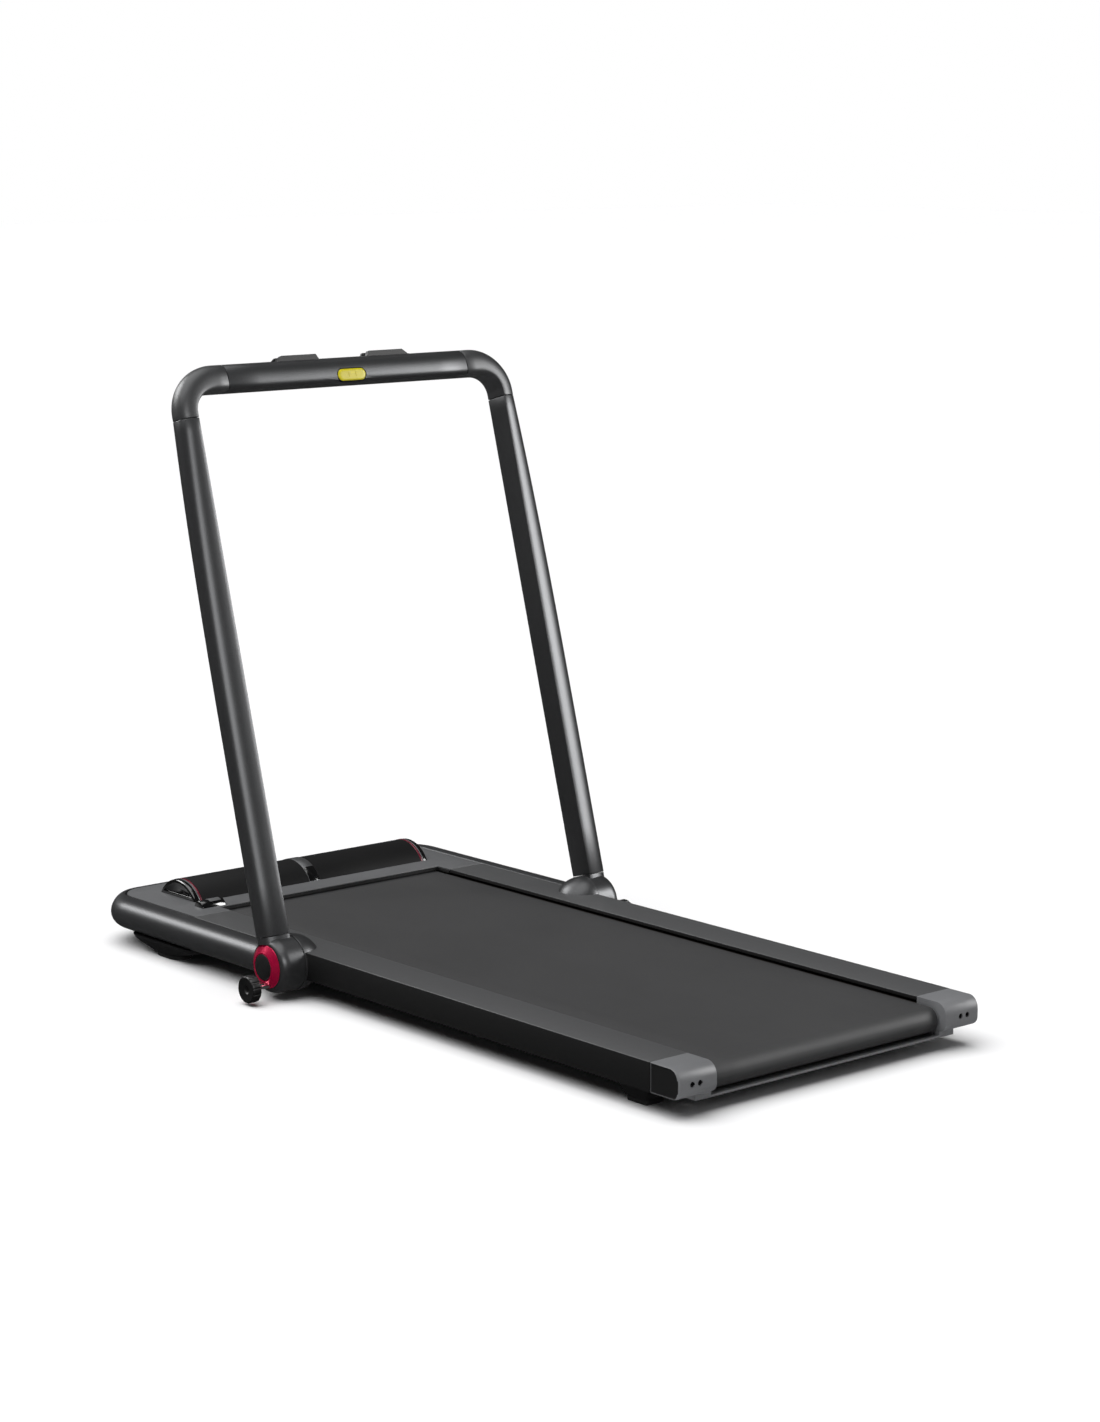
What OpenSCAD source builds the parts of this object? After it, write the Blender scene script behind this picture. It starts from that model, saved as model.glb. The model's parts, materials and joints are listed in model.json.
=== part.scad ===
// Slim folding home treadmill: low deck, front motor hood with a half-round cover,
// and a leaning U-shaped handrail that folds back over the deck on two side hinges.
// Millimetres. +X is the user's right, +Y the way the user faces, +Z up.
// The origin is on the floor under the middle of the machine.

/* [Overall] */
// Length from the rear caps to the front of the bumper
overall_len = 1408; // [1280:2:1680]
// Width over the outer faces of the side rails
deck_w = 605; // [540:5:760]
// Height of the side rails' top above the floor
deck_h = 76; // [72:1:100]

/* [Side rails and board] */
// Width of a side rail's top face
rail_w = 72; // [64:1:90]
// Height of a side rail
rail_h = 44.5; // [43:0.5:60]
// Width of the rail's hollow box
rail_box_w = 38.5; // [34:0.5:44]
// Wall of the rail extrusion
rail_wall = 2.5; // [2:0.1:3]
// Length of a rear cap
cap_len = 60; // [52:1:80]
// Thickness of the running board
board_t = 12; // [9:0.5:15]
// Height of a rubber cushion under the board
cushion_h = 6; // [4:0.5:7]

/* [Belt and rollers] */
// Thickness of the walking belt
belt_t = 2; // [1.5:0.1:3]
// Gap between the belt's edge and the rail on each side
belt_side_gap = 4.5; // [3:0.5:10]
// Depth of the belt's top below the rail tops
belt_drop = 8.6; // [7:0.1:12]
// Radius of the roller drums
roller_r = 17; // [15:0.5:18]
// Radius of the roller axles
axle_r = 6; // [5:0.5:7]
// Outer radius of the roller bearings
bearing_r = 13; // [11:0.5:13.5]

/* [Hood] */
// Length of the hood plate in front of the belt
hood_len = 203; // [190:1:260]
// Length of the hood's two ears beside the belt
ear_len = 32; // [20:1:60]
// Thickness of the hood plate
hood_t = 3; // [2:0.5:4]
// Corner radius of the hood plate
hood_corner_r = 48; // [30:1:60]
// Radius of the half-round motor cover
roll_r = 60; // [54:1:70]
// Height of the cover's crown above the hood plate
roll_rise = 30; // [26:1:36]
// Length of the cover with its end caps
roll_len = 492; // [440:1:520]

/* [Bumper] */
// How far the bumper stands out from the rails
bumper_out = 39; // [30:1:50]
// How far the bumper stands out in front of the hood plate
front_out = 12; // [10:1:30]
// Outer corner radius of the bumper
bumper_corner_r = 85; // [70:1:110]
// Radius of the bumper's round outer side
bumper_r = 24; // [20:1:24]
// Wall of the bumper
bumper_wall = 3; // [2:0.5:4]

/* [Handrail] */
// Distance from the bumper's front to the hinge axis
hinge_back = 512; // [480:1:620]
// Height of the hinge axis above the rails' underside
hinge_up = 22; // [20:0.5:24]
// Forward lean of the upright handrail
lean = 15.63; // [8:0.01:20]
// Gap between a side rail and an arm's flat inner face
arm_gap = 8.7; // [8:0.1:14]
// Depth of the handrail section, front to back
arm_d = 45; // [40:0.5:48]
// Thickness of an arm at its foot
arm_t_low = 44; // [38:0.5:48]
// Thickness of an arm at its elbow
arm_t_high = 30; // [26:0.5:36]
// Distance along the arm from the hinge axis to the elbow joint
arm_len = 866; // [700:1:1000]
// Distance from the elbow joint to the crossbar's underside
bar_above = 39.5; // [34:0.5:60]
// Thickness of the crossbar
bar_t = 44.5; // [40:0.5:50]
// Wall of the arm and crossbar tubes
tube_wall = 3; // [2:0.5:4]
// Radius of the fixed and moving hinge barrels
barrel_r = 44; // [40:0.5:44]
// Distance of the lock knob's axis from the hinge axis
knob_drop = 29; // [28.5:0.1:30]
// Radius of the lock knob
knob_r = 21.5; // [16:0.5:22]

/* [Clearances] */
// Radial clearance of a running fit
run_gap = 0.05; // [0.02:0.01:0.1]
// Gap between curved faces that move past each other
move_gap = 0.4; // [0.3:0.1:1]
// Gap around a piece seated in a recess
seat_gap = 0.2; // [0.1:0.05:0.5]

/* [Hidden] */
$fn = 96;
eps = 0.01;
over = 1;            // how far a cutter runs past the face it cuts

// Deck stations along Y
rear_y = -overall_len / 2;
front_y = overall_len / 2;
seam_y = rear_y + cap_len;
groove_y = front_y - front_out;
opening_y = groove_y - hood_len;
rail_front_y = opening_y - ear_len;
rail_end_y = groove_y - 30;
// Deck stations along X, right side
rail_out = deck_w / 2;
rail_in = rail_out - rail_w;
box_in = rail_out - rail_box_w;
belt_half = rail_in - belt_side_gap;
// Deck heights
rail_bot = deck_h - rail_h;
roller_z = deck_h - belt_drop - belt_t - move_gap - roller_r;
loop_in_r = roller_r + move_gap;
loop_out_r = loop_in_r + belt_t;
board_top = roller_z + loop_in_r - move_gap;
board_bot = board_top - board_t;
shelf_top = board_bot - cushion_h;
shelf_t = 3;
shelf_in = box_in - 26;
// Rollers
front_roller_y = opening_y + loop_out_r + 2.5;
rear_roller_y = rear_y + 11 + loop_out_r;
roller_half = belt_half + 3;
bearing_w = 8;
// Hinge and handrail
hinge_y = front_y - hinge_back;
hinge_z = rail_bot + hinge_up;
bracket_t = 3;
bracket_face = rail_out + bracket_t;
housing_in = bracket_face + 0.5;
housing_w = 43;
housing_out = housing_in + housing_w;
arm_in = rail_out + arm_gap;
pin_r = 8;
neck_s = barrel_r + 1;
bar_s = arm_len + bar_above;
bar_top = bar_s + bar_t;
elbow_cx = arm_in - 49.2;
elbow_cs = arm_len + 8;
bar_seam_x = elbow_cx - 19;
bar_soft = 10;
arm_soft = 1;
disc_r = 21;
lock_r = 4;
groove_deep = 2;
knob_w = 16;
knob_x = housing_out + 31;
// Motor bay
motor_y = opening_y + 99.5;
roll_z = deck_h + roll_rise - roll_r;
roll_half_y = sqrt(pow(roll_r, 2) - pow(deck_h - roll_z, 2));
roll_t = 3;
motor_z = 58;
motor_r = 37;
motor_x0 = -70;
motor_x1 = 130;
pulley_small_r = 11;
drive_t = 2.5;
pulley_clear = 1.1;
pulley_big_r = deck_h - hood_t - pulley_clear - drive_t - move_gap - roller_z;
pulley_x0 = belt_half + 6;
pulley_w = 14;
pan_z = 14;
pan_t = 2.5;
pan_flange_x = rail_out - 8;
pan_half = box_in - 14;
pan_y0 = rail_front_y + 10;
pan_y1 = groove_y - 8;
wheel_r = 20;
wheel_w = 20;
wheel_x = 190;
wheel_y = groove_y - 42;
wheel_z = wheel_r + 4;

// ---------- shared shapes ----------

// A flat XZ outline drawn out along Y
module along_y(y0, y1) {
    translate([0, y1, 0])
        rotate([90, 0, 0])
            linear_extrude(y1 - y0)
                children();
}

// A flat YZ outline drawn out along X
module along_x(x0, x1) {
    translate([x0, 0, 0])
        rotate([90, 0, 90])
            linear_extrude(x1 - x0)
                children();
}

// A round bar along X
module rod_x(r, x0, x1, y, z) {
    translate([x0, y, z])
        rotate([0, 90, 0])
            cylinder(r = r, h = x1 - x0);
}

// A shape of revolution about X, its outline given as [x, radius]
module turned_x(outline) {
    rotate([0, 90, 0])
        rotate_extrude()
            polygon([for (p = outline) [p[1], p[0]]]);
}

module block(x0, x1, y0, y1, z0, z1) {
    translate([x0, y0, z0])
        cube([x1 - x0, y1 - y0, z1 - z0]);
}

// The handrail's own frame: origin on the hinge axis, Z along the arm, Y to its front
module on_handrail() {
    translate([0, hinge_y, hinge_z])
        rotate([-lean, 0, 0])
            children();
}

module left_of() {
    mirror([1, 0, 0])
        children();
}

module both_sides() {
    children();
    left_of()
        children();
}

// Round-cornered outline of a belt loop around two wheels
module loop_outline(ya, za, ra, yb, zb, rb) {
    dist = sqrt(pow(yb - ya, 2) + pow(zb - za, 2));
    tilt = atan2(zb - za, yb - ya);
    side = asin((ra - rb) / dist);
    up = [cos(tilt + 90 - side), sin(tilt + 90 - side)];
    down = [cos(tilt - 90 + side), sin(tilt - 90 + side)];
    translate([ya, za])
        circle(r = ra);
    translate([yb, zb])
        circle(r = rb);
    polygon([[ya, za] + ra * up, [yb, zb] + rb * up, [yb, zb] + rb * down, [ya, za] + ra * down]);
}

// ---------- handrail section ----------

round_steps = 18;
corner_steps = 3;
fullness = 2.5;      // 2 is an ellipse, higher is squarer

// Section outline: a flat inner side on n = 0, a full round outer side
function section(d, t, soft) = concat(
    [for (i = [0:corner_steps]) let (a = -90 + 90 * i / corner_steps)
        [d / 2 - soft + soft * cos(a), soft + soft * sin(a)]],
    [for (i = [1:round_steps - 1]) let (a = 180 * i / round_steps)
        [d / 2 * sign(cos(a)) * pow(abs(cos(a)), 2 / fullness),
         soft + (t - soft) * pow(sin(a), 2 / fullness)]],
    [for (i = [0:corner_steps]) let (a = 180 + 90 * i / corner_steps)
        [-d / 2 + soft + soft * cos(a), soft + soft * sin(a)]]);

// Solid swept through a list of rings with equal point counts
module swept(rings) {
    n = len(rings[0]);
    m = len(rings);
    pts = [for (ring = rings) each ring];
    sides = [for (k = [0:m - 2], i = [0:n - 1]) let (j = (i + 1) % n)
        each [[k * n + i, k * n + j, (k + 1) * n + i], [k * n + j, (k + 1) * n + j, (k + 1) * n + i]]];
    low = [for (i = [n - 1:-1:0]) i];
    high = [for (i = [0:n - 1]) (m - 1) * n + i];
    polyhedron(points = pts, faces = concat([low], sides, [high]), convexity = 6);
}

function arm_thick(s) = arm_t_low - (arm_t_low - arm_t_high) * pow(s / arm_len, 4);

// Rings of the right arm at given distances along it, shrunk by a wall
function arm_rings(stations, wall) = [for (s = stations)
    [for (p = section(arm_d - 2 * wall, arm_thick(s) - 2 * wall, arm_soft))
        [arm_in + wall + p[1], p[0], s]]];

function mix(a, b, f) = a + (b - a) * f;

// One ring of the right elbow, its angle going from the arm, 0, to the crossbar, 90
function elbow_ring(a) = let (
    f = (1 - cos(a * 2)) / 2,
    inner = mix(arm_in - elbow_cx, bar_s - elbow_cs, f),
    outer = mix(arm_in + arm_t_high - elbow_cx, bar_top - elbow_cs, f),
    soft = mix(arm_soft, bar_soft, f))
    [for (p = section(arm_d, outer - inner, soft))
        [elbow_cx + (inner + p[1]) * cos(a), p[0], elbow_cs + (inner + p[1]) * sin(a)]];

// ---------- deck frame ----------

module rail_outline() {
    difference() {
        union() {
            translate([box_in, rail_bot])
                square([rail_box_w, rail_h]);
            translate([rail_in, deck_h - 3])
                square([box_in - rail_in + eps, 3]);
            translate([rail_in, deck_h - 6])
                square([2.5, 4]);
            translate([shelf_in, shelf_top - shelf_t])
                square([box_in - shelf_in + eps, shelf_t]);
        }
        translate([box_in + rail_wall, rail_bot + rail_wall])
            square([rail_box_w - 2 * rail_wall, rail_h - 2 * rail_wall]);
    }
}

module side_rail() {
    difference() {
        along_y(seam_y, rail_end_y)
            rail_outline();
        // under the hood only the hollow box goes on, cut down for the hood plate
        block(rail_in - over, box_in, rail_front_y, rail_end_y + over, 0, deck_h + over);
        block(rail_in - over, rail_out + over, rail_front_y, rail_end_y + over, deck_h - hood_t, deck_h + over);
        // room for the round corner of the bumper
        translate([rail_out - hood_corner_r, groove_y - hood_corner_r, 0])
            linear_extrude(deck_h + over)
                difference() {
                    square(hood_corner_r + over);
                    circle(r = hood_corner_r - seat_gap);
                }
        rod_x(pin_r + run_gap, rail_out - rail_wall - over, rail_out + over, hinge_y, hinge_z);
    }
}

module right_side_rail() {
    color("#35373a")
        side_rail();
}

module left_side_rail() {
    color("#35373a")
        left_of()
            side_rail();
}

cap_top_r = 20;
cap_low_r = 14;
cap_side_r = 4;
cap_wall = 3;
bolt_hole_r = 4.2;
bolt_pitch = 14.6;
bolt_x = rail_out - rail_w / 2 - 3.7;
bolt_z = roller_z + 4;

// Side outline of a rear cap, shrunk by an inset, open at its front
module cap_outline(inset, y_end) {
    top = deck_h - inset;
    low = rail_bot + inset;
    y0 = rear_y + inset;
    rt = cap_top_r - inset;
    rl = cap_low_r - inset;
    translate([y0 + rt, top - rt])
        circle(r = rt);
    translate([y0 + rl, low + rl])
        circle(r = rl);
    translate([y0 + rt, low])
        square([y_end - y0 - rt, top - low]);
    translate([y0, low + rl])
        square([rt + eps, top - low - rt - rl]);
    translate([y0 + rl, low])
        square([rt - rl + 2 * eps, rl]);
}

// Plan of a rear cap, its outer rear corner rounded
module cap_plan() {
    translate([rail_out - cap_side_r, rear_y + cap_side_r])
        circle(r = cap_side_r);
    translate([rail_in, rear_y])
        square([rail_w - cap_side_r, cap_len]);
    translate([rail_in, rear_y + cap_side_r])
        square([rail_w, cap_len - cap_side_r]);
}

module rear_cap() {
    difference() {
        intersection() {
            along_x(rail_in, rail_out)
                cap_outline(0, seam_y);
            linear_extrude(deck_h + over)
                cap_plan();
        }
        along_x(rail_in + cap_wall, rail_out - cap_wall)
            cap_outline(cap_wall, seam_y + over);
        // slot that lets the roller axle slide as the belt is tensioned
        along_x(rail_in - over, rail_in + cap_wall + over)
            translate([rear_roller_y - 8, roller_z - axle_r - seat_gap])
                square([seam_y - rear_y, 2 * (axle_r + seat_gap)]);
        for (side = [0, 1])
            translate([bolt_x + side * bolt_pitch, rear_y - over, bolt_z])
                rotate([-90, 0, 0])
                    cylinder(r = bolt_hole_r, h = cap_wall + 2 * over);
    }
}

module right_rear_cap() {
    color("#4b4d50")
        rear_cap();
}

module left_rear_cap() {
    color("#4b4d50")
        left_of()
            rear_cap();
}

bolt_shank_r = 2.5;
bolt_head_r = 3.9;

// In each cap: the belt tension screw, which reaches the axle, and the cap's own screw
module rear_end_bolts() {
    color("#222222")
        both_sides()
            for (side = [0, 1])
                translate([bolt_x + side * bolt_pitch, 0, bolt_z])
                    rotate([-90, 0, 0]) {
                        translate([0, 0, rear_y + 1.5])
                            difference() {
                                cylinder(r = bolt_head_r, h = 6);
                                translate([0, 0, -eps])
                                    cylinder(r = 2, h = 3, $fn = 6);
                            }
                        translate([0, 0, rear_y + 7.5])
                            cylinder(r = bolt_shank_r, h = side == 0 ? 34 : cap_len);
                    }
}

module crossmember_tube(y, w, z0, z1) {
    difference() {
        block(-box_in, box_in, y - w / 2, y + w / 2, z0, z1);
        block(-box_in - over, box_in + over, y - w / 2 + 2, y + w / 2 - 2, z0 + 2, z1 - 2);
    }
}

member_top = shelf_top - shelf_t;
member_bot = roller_z - loop_in_r + 3;

module middle_crossmembers() {
    color("#2a2b2d")
        for (k = [0:2])
            crossmember_tube(seam_y + 130 + k * 330, 40, member_bot, member_top);
}

// Folded plate across the front, under the hood, that carries the motor end of the frame
module front_crossmember() {
    color("#2a2b2d")
        difference() {
            union() {
                block(-box_in, box_in, rail_end_y - 14, rail_end_y - 11, rail_bot, deck_h - hood_t - 4);
                block(-box_in, box_in, rail_end_y - 14, rail_end_y, rail_bot, rail_bot + 3);
            }
            for (x = [-wheel_x, wheel_x])
                block(x - wheel_w / 2 - 8, x + wheel_w / 2 + 8, rail_end_y - 20, rail_end_y + over,
                    rail_bot - over, rail_bot + 18);
        }
}

guard_z = roller_z - loop_out_r - 6;

// Thin bar below the belt's rear turn; its ends step up to the rear caps
module rear_guard_bar() {
    color("#3a3b3d")
        difference() {
            block(-rail_in - 30, rail_in + 30, rear_y + 12, rear_y + 44, guard_z, rail_bot);
            block(-rail_in - 1, rail_in + 1, rear_y + 12 - over, rear_y + 44 + over,
                guard_z + 3, rail_bot + over);
        }
}

// The board stops short of the belt's front turn and of the drive belt round the big pulley
board_end_gap = 1;
board_front_y = front_roller_y - max(loop_out_r, pulley_big_r + move_gap + drive_t) - board_end_gap;

module running_board() {
    color("#5a4632")
        block(-box_in + 8, box_in - 8, seam_y + 2, board_front_y, board_bot, board_top);
}

cushion_r = 7;
cushion_count = 6;

module board_cushions() {
    color("#151515")
        both_sides()
            for (k = [0:cushion_count - 1])
                translate([box_in - 15.5, seam_y + 60 + k * (rail_front_y - seam_y - 120) / (cushion_count - 1),
                    shelf_top])
                    cylinder(r = cushion_r, h = cushion_h);
}

module walking_belt() {
    color("#1c1c1e")
        along_x(-belt_half, belt_half)
            difference() {
                loop_outline(rear_roller_y, roller_z, loop_out_r, front_roller_y, roller_z, loop_out_r);
                loop_outline(rear_roller_y, roller_z, loop_in_r, front_roller_y, roller_z, loop_in_r);
            }
}

// ---------- rollers and drive ----------

module roller_drum(y) {
    difference() {
        rod_x(roller_r, -roller_half, roller_half, y, roller_z);
        rod_x(bearing_r, -roller_half - over, roller_half + over, y, roller_z);
    }
}

// Drum with the grooved drive pulley pressed onto its right end
module front_roller() {
    color("#8c8f93") {
        roller_drum(front_roller_y);
        difference() {
            union() {
                rod_x(bearing_r, roller_half - 40, roller_half - bearing_w - 4, front_roller_y, roller_z);
                rod_x(pulley_big_r, pulley_x0, pulley_x0 + pulley_w, front_roller_y, roller_z);
                rod_x(bearing_r - 2, roller_half - bearing_w - 4 - eps, pulley_x0 + eps,
                    front_roller_y, roller_z);
            }
            rod_x(axle_r + 1.5, roller_half - 41, pulley_x0 + pulley_w + over, front_roller_y, roller_z);
        }
    }
}

module rear_roller() {
    color("#8c8f93")
        roller_drum(rear_roller_y);
}

module bearing(x0, y) {
    difference() {
        rod_x(bearing_r, x0, x0 + bearing_w, y, roller_z);
        rod_x(axle_r + run_gap, x0 - over, x0 + bearing_w + over, y, roller_z);
    }
}

module front_roller_bearings() {
    color("silver") {
        bearing(-roller_half, front_roller_y);
        bearing(roller_half - 40 - bearing_w, front_roller_y);
    }
}

module rear_roller_bearings() {
    color("silver") {
        bearing(-roller_half, rear_roller_y);
        bearing(roller_half - bearing_w, rear_roller_y);
    }
}

module front_roller_axle() {
    color("#b9bcc0")
        rod_x(axle_r, -box_in, box_in, front_roller_y, roller_z);
}

axle_end = bolt_x + 6;

module rear_roller_axle() {
    color("#b9bcc0")
        difference() {
            rod_x(axle_r, -axle_end, axle_end, rear_roller_y, roller_z);
            for (x = [-bolt_x, bolt_x])
                translate([x, rear_y, bolt_z])
                    rotate([-90, 0, 0])
                        cylinder(r = bolt_shank_r + eps, h = 60);
        }
}

lug_z = motor_z - 22;
lug_y0 = 26;
lug_y1 = 40;

// Motor can with its end bell, shaft boss and two long mounting lugs
module motor() {
    color("#3b3f45") {
        rod_x(motor_r, motor_x0, motor_x1, motor_y, motor_z);
        rod_x(motor_r - 9, motor_x0 - 12, motor_x0 + eps, motor_y, motor_z);
        rod_x(12, motor_x1 - eps, motor_x1 + 5, motor_y, motor_z);
        for (side = [-1, 1])
            translate([0, motor_y, 0])
                block(motor_x0 + 20, motor_x1 - 20, min(side * lug_y0, side * lug_y1),
                    max(side * lug_y0, side * lug_y1), lug_z, lug_z + 4);
    }
}

// Channel on the belly pan that carries the motor by its lugs
module motor_bracket() {
    color("#2a2b2d")
        difference() {
            block(motor_x0 + 24, motor_x1 - 24, motor_y - lug_y1 + 1, motor_y + lug_y1 - 1,
                pan_z + pan_t, lug_z);
            block(motor_x0 + 24 - over, motor_x1 - 24 + over, motor_y - lug_y1 + 4, motor_y + lug_y1 - 4,
                pan_z + pan_t + 2.5, lug_z + over);
        }
}

// Motor shaft with its flywheel and the small drive pulley
module motor_pulley() {
    color("#9a9da1") {
        rod_x(5, motor_x1 + 5.5, pulley_x0 + pulley_w, motor_y, motor_z);
        rod_x(30, motor_x1 + 30, motor_x1 + 50, motor_y, motor_z);
        rod_x(pulley_small_r, pulley_x0, pulley_x0 + pulley_w, motor_y, motor_z);
    }
}

module drive_belt() {
    color("#111111")
        along_x(pulley_x0 + 1.5, pulley_x0 + pulley_w - 1.5)
            difference() {
                loop_outline(front_roller_y, roller_z, pulley_big_r + move_gap + drive_t,
                    motor_y, motor_z, pulley_small_r + move_gap + drive_t);
                loop_outline(front_roller_y, roller_z, pulley_big_r + move_gap,
                    motor_y, motor_z, pulley_small_r + move_gap);
            }
}

board_x0 = -225;
board_x1 = -100;
pcb_z = pan_z + pan_t + 6;

module controller_board() {
    color("#1f5a32") {
        block(board_x0, board_x1, motor_y - 55, motor_y + 40, pcb_z, pcb_z + 1.6);
        for (x = [board_x0 + 8, board_x1 - 8], y = [motor_y - 48, motor_y + 33])
            translate([x, y, pan_z + pan_t])
                cylinder(r = 3, h = pcb_z - pan_z - pan_t + eps);
        for (k = [0:2])
            translate([board_x0 + 22 + k * 24, motor_y - 38, pcb_z + 1.6 - eps])
                cylinder(r = 9, h = 22);
        block(board_x0 + 12, board_x0 + 42, motor_y + 8, motor_y + 34, pcb_z + 1.6 - eps, pcb_z + 20);
    }
}

module heat_sink() {
    color("#a8abae") {
        block(board_x0 + 50, board_x1 - 4, motor_y - 22, motor_y + 34, pcb_z + 1.6, pcb_z + 6);
        for (k = [0:7])
            block(board_x0 + 50, board_x1 - 4, motor_y - 22 + k * 7.7, motor_y - 20 + k * 7.7,
                pcb_z + 6 - eps, pcb_z + 28);
    }
}

// ---------- hood ----------

// Plan outline of everything inside the groove, from a given rear edge
module hood_plan(y0, inset) {
    w = rail_out - inset;
    r = hood_corner_r - inset;
    translate([-w, y0])
        square([2 * w, groove_y - inset - r - y0]);
    translate([-w + r, y0])
        square([2 * (w - r), groove_y - inset - y0]);
    for (x = [-w + r, w - r])
        translate([x, groove_y - inset - r])
            circle(r = r);
}

module hood_plate() {
    color("#55585b")
        difference() {
            translate([0, 0, deck_h - hood_t])
                linear_extrude(hood_t)
                    difference() {
                        hood_plan(rail_front_y + 0.3, 0.5);
                        translate([-rail_in, rail_front_y - over])
                            square([2 * rail_in, ear_len + over]);
                    }
            // window for the motor under the half-round cover
            block(-roll_len / 2 + 12, roll_len / 2 - 12, motor_y - roll_half_y + 8, motor_y + roll_half_y - 8,
                deck_h - hood_t - over, deck_h + over);
        }
}

// Slice of the half-round cover between two stations along X
module roll_slice(x0, x1, r_out, r_in) {
    intersection() {
        difference() {
            rod_x(r_out, x0, x1, motor_y, roll_z);
            if (r_in > 0)
                rod_x(r_in, x0 - over, x1 + over, motor_y, roll_z);
        }
        block(x0 - over, x1 + over, motor_y - r_out - over, motor_y + r_out + over, deck_h, deck_h + roll_r);
    }
}

end_w = 9;
silver_w = 2.5;
red_w = 4;
roll_half = roll_len / 2;
body_half = roll_half - end_w - silver_w - red_w;
strap_w = 22;

module hood_roll() {
    color("#19191b")
        difference() {
            roll_slice(-body_half, body_half, roll_r, roll_r - roll_t);
            roll_slice(-strap_w / 2 - seat_gap, strap_w / 2 + seat_gap, roll_r + over, roll_r - 1.2);
        }
}

module roll_end_caps() {
    color("#0c0c0d")
        both_sides()
            roll_slice(roll_half - end_w, roll_half, roll_r - 0.6, 0);
}

module roll_silver_rings() {
    color("#b9bbbe")
        both_sides()
            roll_slice(roll_half - end_w - silver_w, roll_half - end_w, roll_r + 0.4, roll_r - roll_t);
}

module roll_red_rings() {
    color("#5c0f22")
        both_sides()
            roll_slice(body_half, body_half + red_w, roll_r + 0.2, roll_r - roll_t);
}

strap_split = 26;    // angle above the floor plane where the strap's window begins

// Raised strap over the middle of the cover
module roll_strap() {
    color("#9b9ea2")
        difference() {
            roll_slice(-strap_w / 2, strap_w / 2, roll_r + 0.8, roll_r - 1.2);
            strap_window_space(seat_gap);
        }
}

module strap_window_space(gap) {
    block(-strap_w / 2 + 1.5 - gap, strap_w / 2 - 1.5 + gap, motor_y - roll_r - over,
        motor_y - roll_r * cos(strap_split + 16) + gap, deck_h + 3 - gap, deck_h + roll_rise);
}

module strap_window() {
    color("#060607")
        intersection() {
            roll_slice(-strap_w / 2, strap_w / 2, roll_r + 0.9, roll_r - 1.1);
            strap_window_space(0);
        }
}

switch_y = opening_y + 17;
switch_x0 = -rail_in - 30;
switch_x1 = -rail_in + 16;
switch_r = 13;
button_x0 = switch_x0 + 18;
button_w = 22;
button_travel = 3;

// Small half-round block at the hood's left rear corner that carries the start button
module start_switch_housing() {
    color("#1a1a1c")
        difference() {
            intersection() {
                rod_x(switch_r, switch_x0, switch_x1, switch_y, deck_h - 2);
                block(switch_x0, switch_x1, switch_y - 20, switch_y + 20, deck_h, deck_h + 20);
            }
            block(button_x0 - seat_gap * 2, button_x0 + button_w + seat_gap * 2, switch_y - 9, switch_y + 9,
                deck_h + 2.5, deck_h + 20);
        }
}

module start_button() {
    color("#8d9094")
        intersection() {
            rod_x(switch_r + 0.8, button_x0, button_x0 + button_w, switch_y, deck_h - 2);
            block(button_x0, button_x0 + button_w, switch_y - 8.5, switch_y + 8.5,
                deck_h + 2.5 + button_travel + 0.6, deck_h + 20);
        }
}

// ---------- bumper, pan and feet ----------

section_steps = 18;
bend_steps = 12;
top_flat = bumper_wall + 1;

// Upright section of the bumper between an inner and an outer plan point, shrunk by a wall
function bumper_ring(inner, outer, wall) = let (
    w = norm(outer - inner),
    out = (outer - inner) / w,
    flat = max(w - bumper_r, top_flat),
    zc = deck_h - bumper_r,
    half = bumper_r - wall)
    [for (p = concat(
        [[wall, zc - half], [wall, zc + half]],
        [for (k = [0:section_steps]) let (a = 180 * k / section_steps)
            [flat + (w - flat - wall) * sin(a), zc + half * cos(a)]]))
        [inner[0] + out[0] * p[0], inner[1] + out[1] * p[0], p[1]]];

// Plan points of the left front bend, inner line and outer line, for a share of the way round
bend_lead = max(bumper_corner_r - front_out - hood_corner_r, 0);
function bend_inner(share) = let (
    way = share * (bend_lead + hood_corner_r * PI / 2),
    a = 180 - max(way - bend_lead, 0) / hood_corner_r * 180 / PI)
    [-rail_out + hood_corner_r * (1 + cos(a)),
        groove_y - hood_corner_r + hood_corner_r * sin(a) - max(bend_lead - way, 0)];
function bend_outer(share) = let (a = 180 - 90 * share)
    [-rail_out - bumper_out + bumper_corner_r * (1 + cos(a)),
        front_y - bumper_corner_r + bumper_corner_r * sin(a)];

// The section swept along both sides, round the front bends and across the front
module bumper_sweep(wall, y0) {
    bend = [for (k = [0:bend_steps])
        [bend_inner(k / bend_steps), bend_outer(k / bend_steps)]];
    left = concat([[[-rail_out, y0], [-rail_out - bumper_out, y0]]], bend);
    right = [for (k = [len(left) - 1:-1:0])
        [[-left[k][0][0], left[k][0][1]], [-left[k][1][0], left[k][1][1]]]];
    swept([for (pair = concat(left, right)) bumper_ring(pair[0], pair[1], wall)]);
}

inlet_x0 = 130;
inlet_x1 = 226;
inlet_z0 = deck_h - 42;
inlet_z1 = deck_h - 10;
inlet_front = front_y - 6;
inlet_len = 29;
inlet_y0 = inlet_front - inlet_len;
bumper_end_gap = 2;

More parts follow.
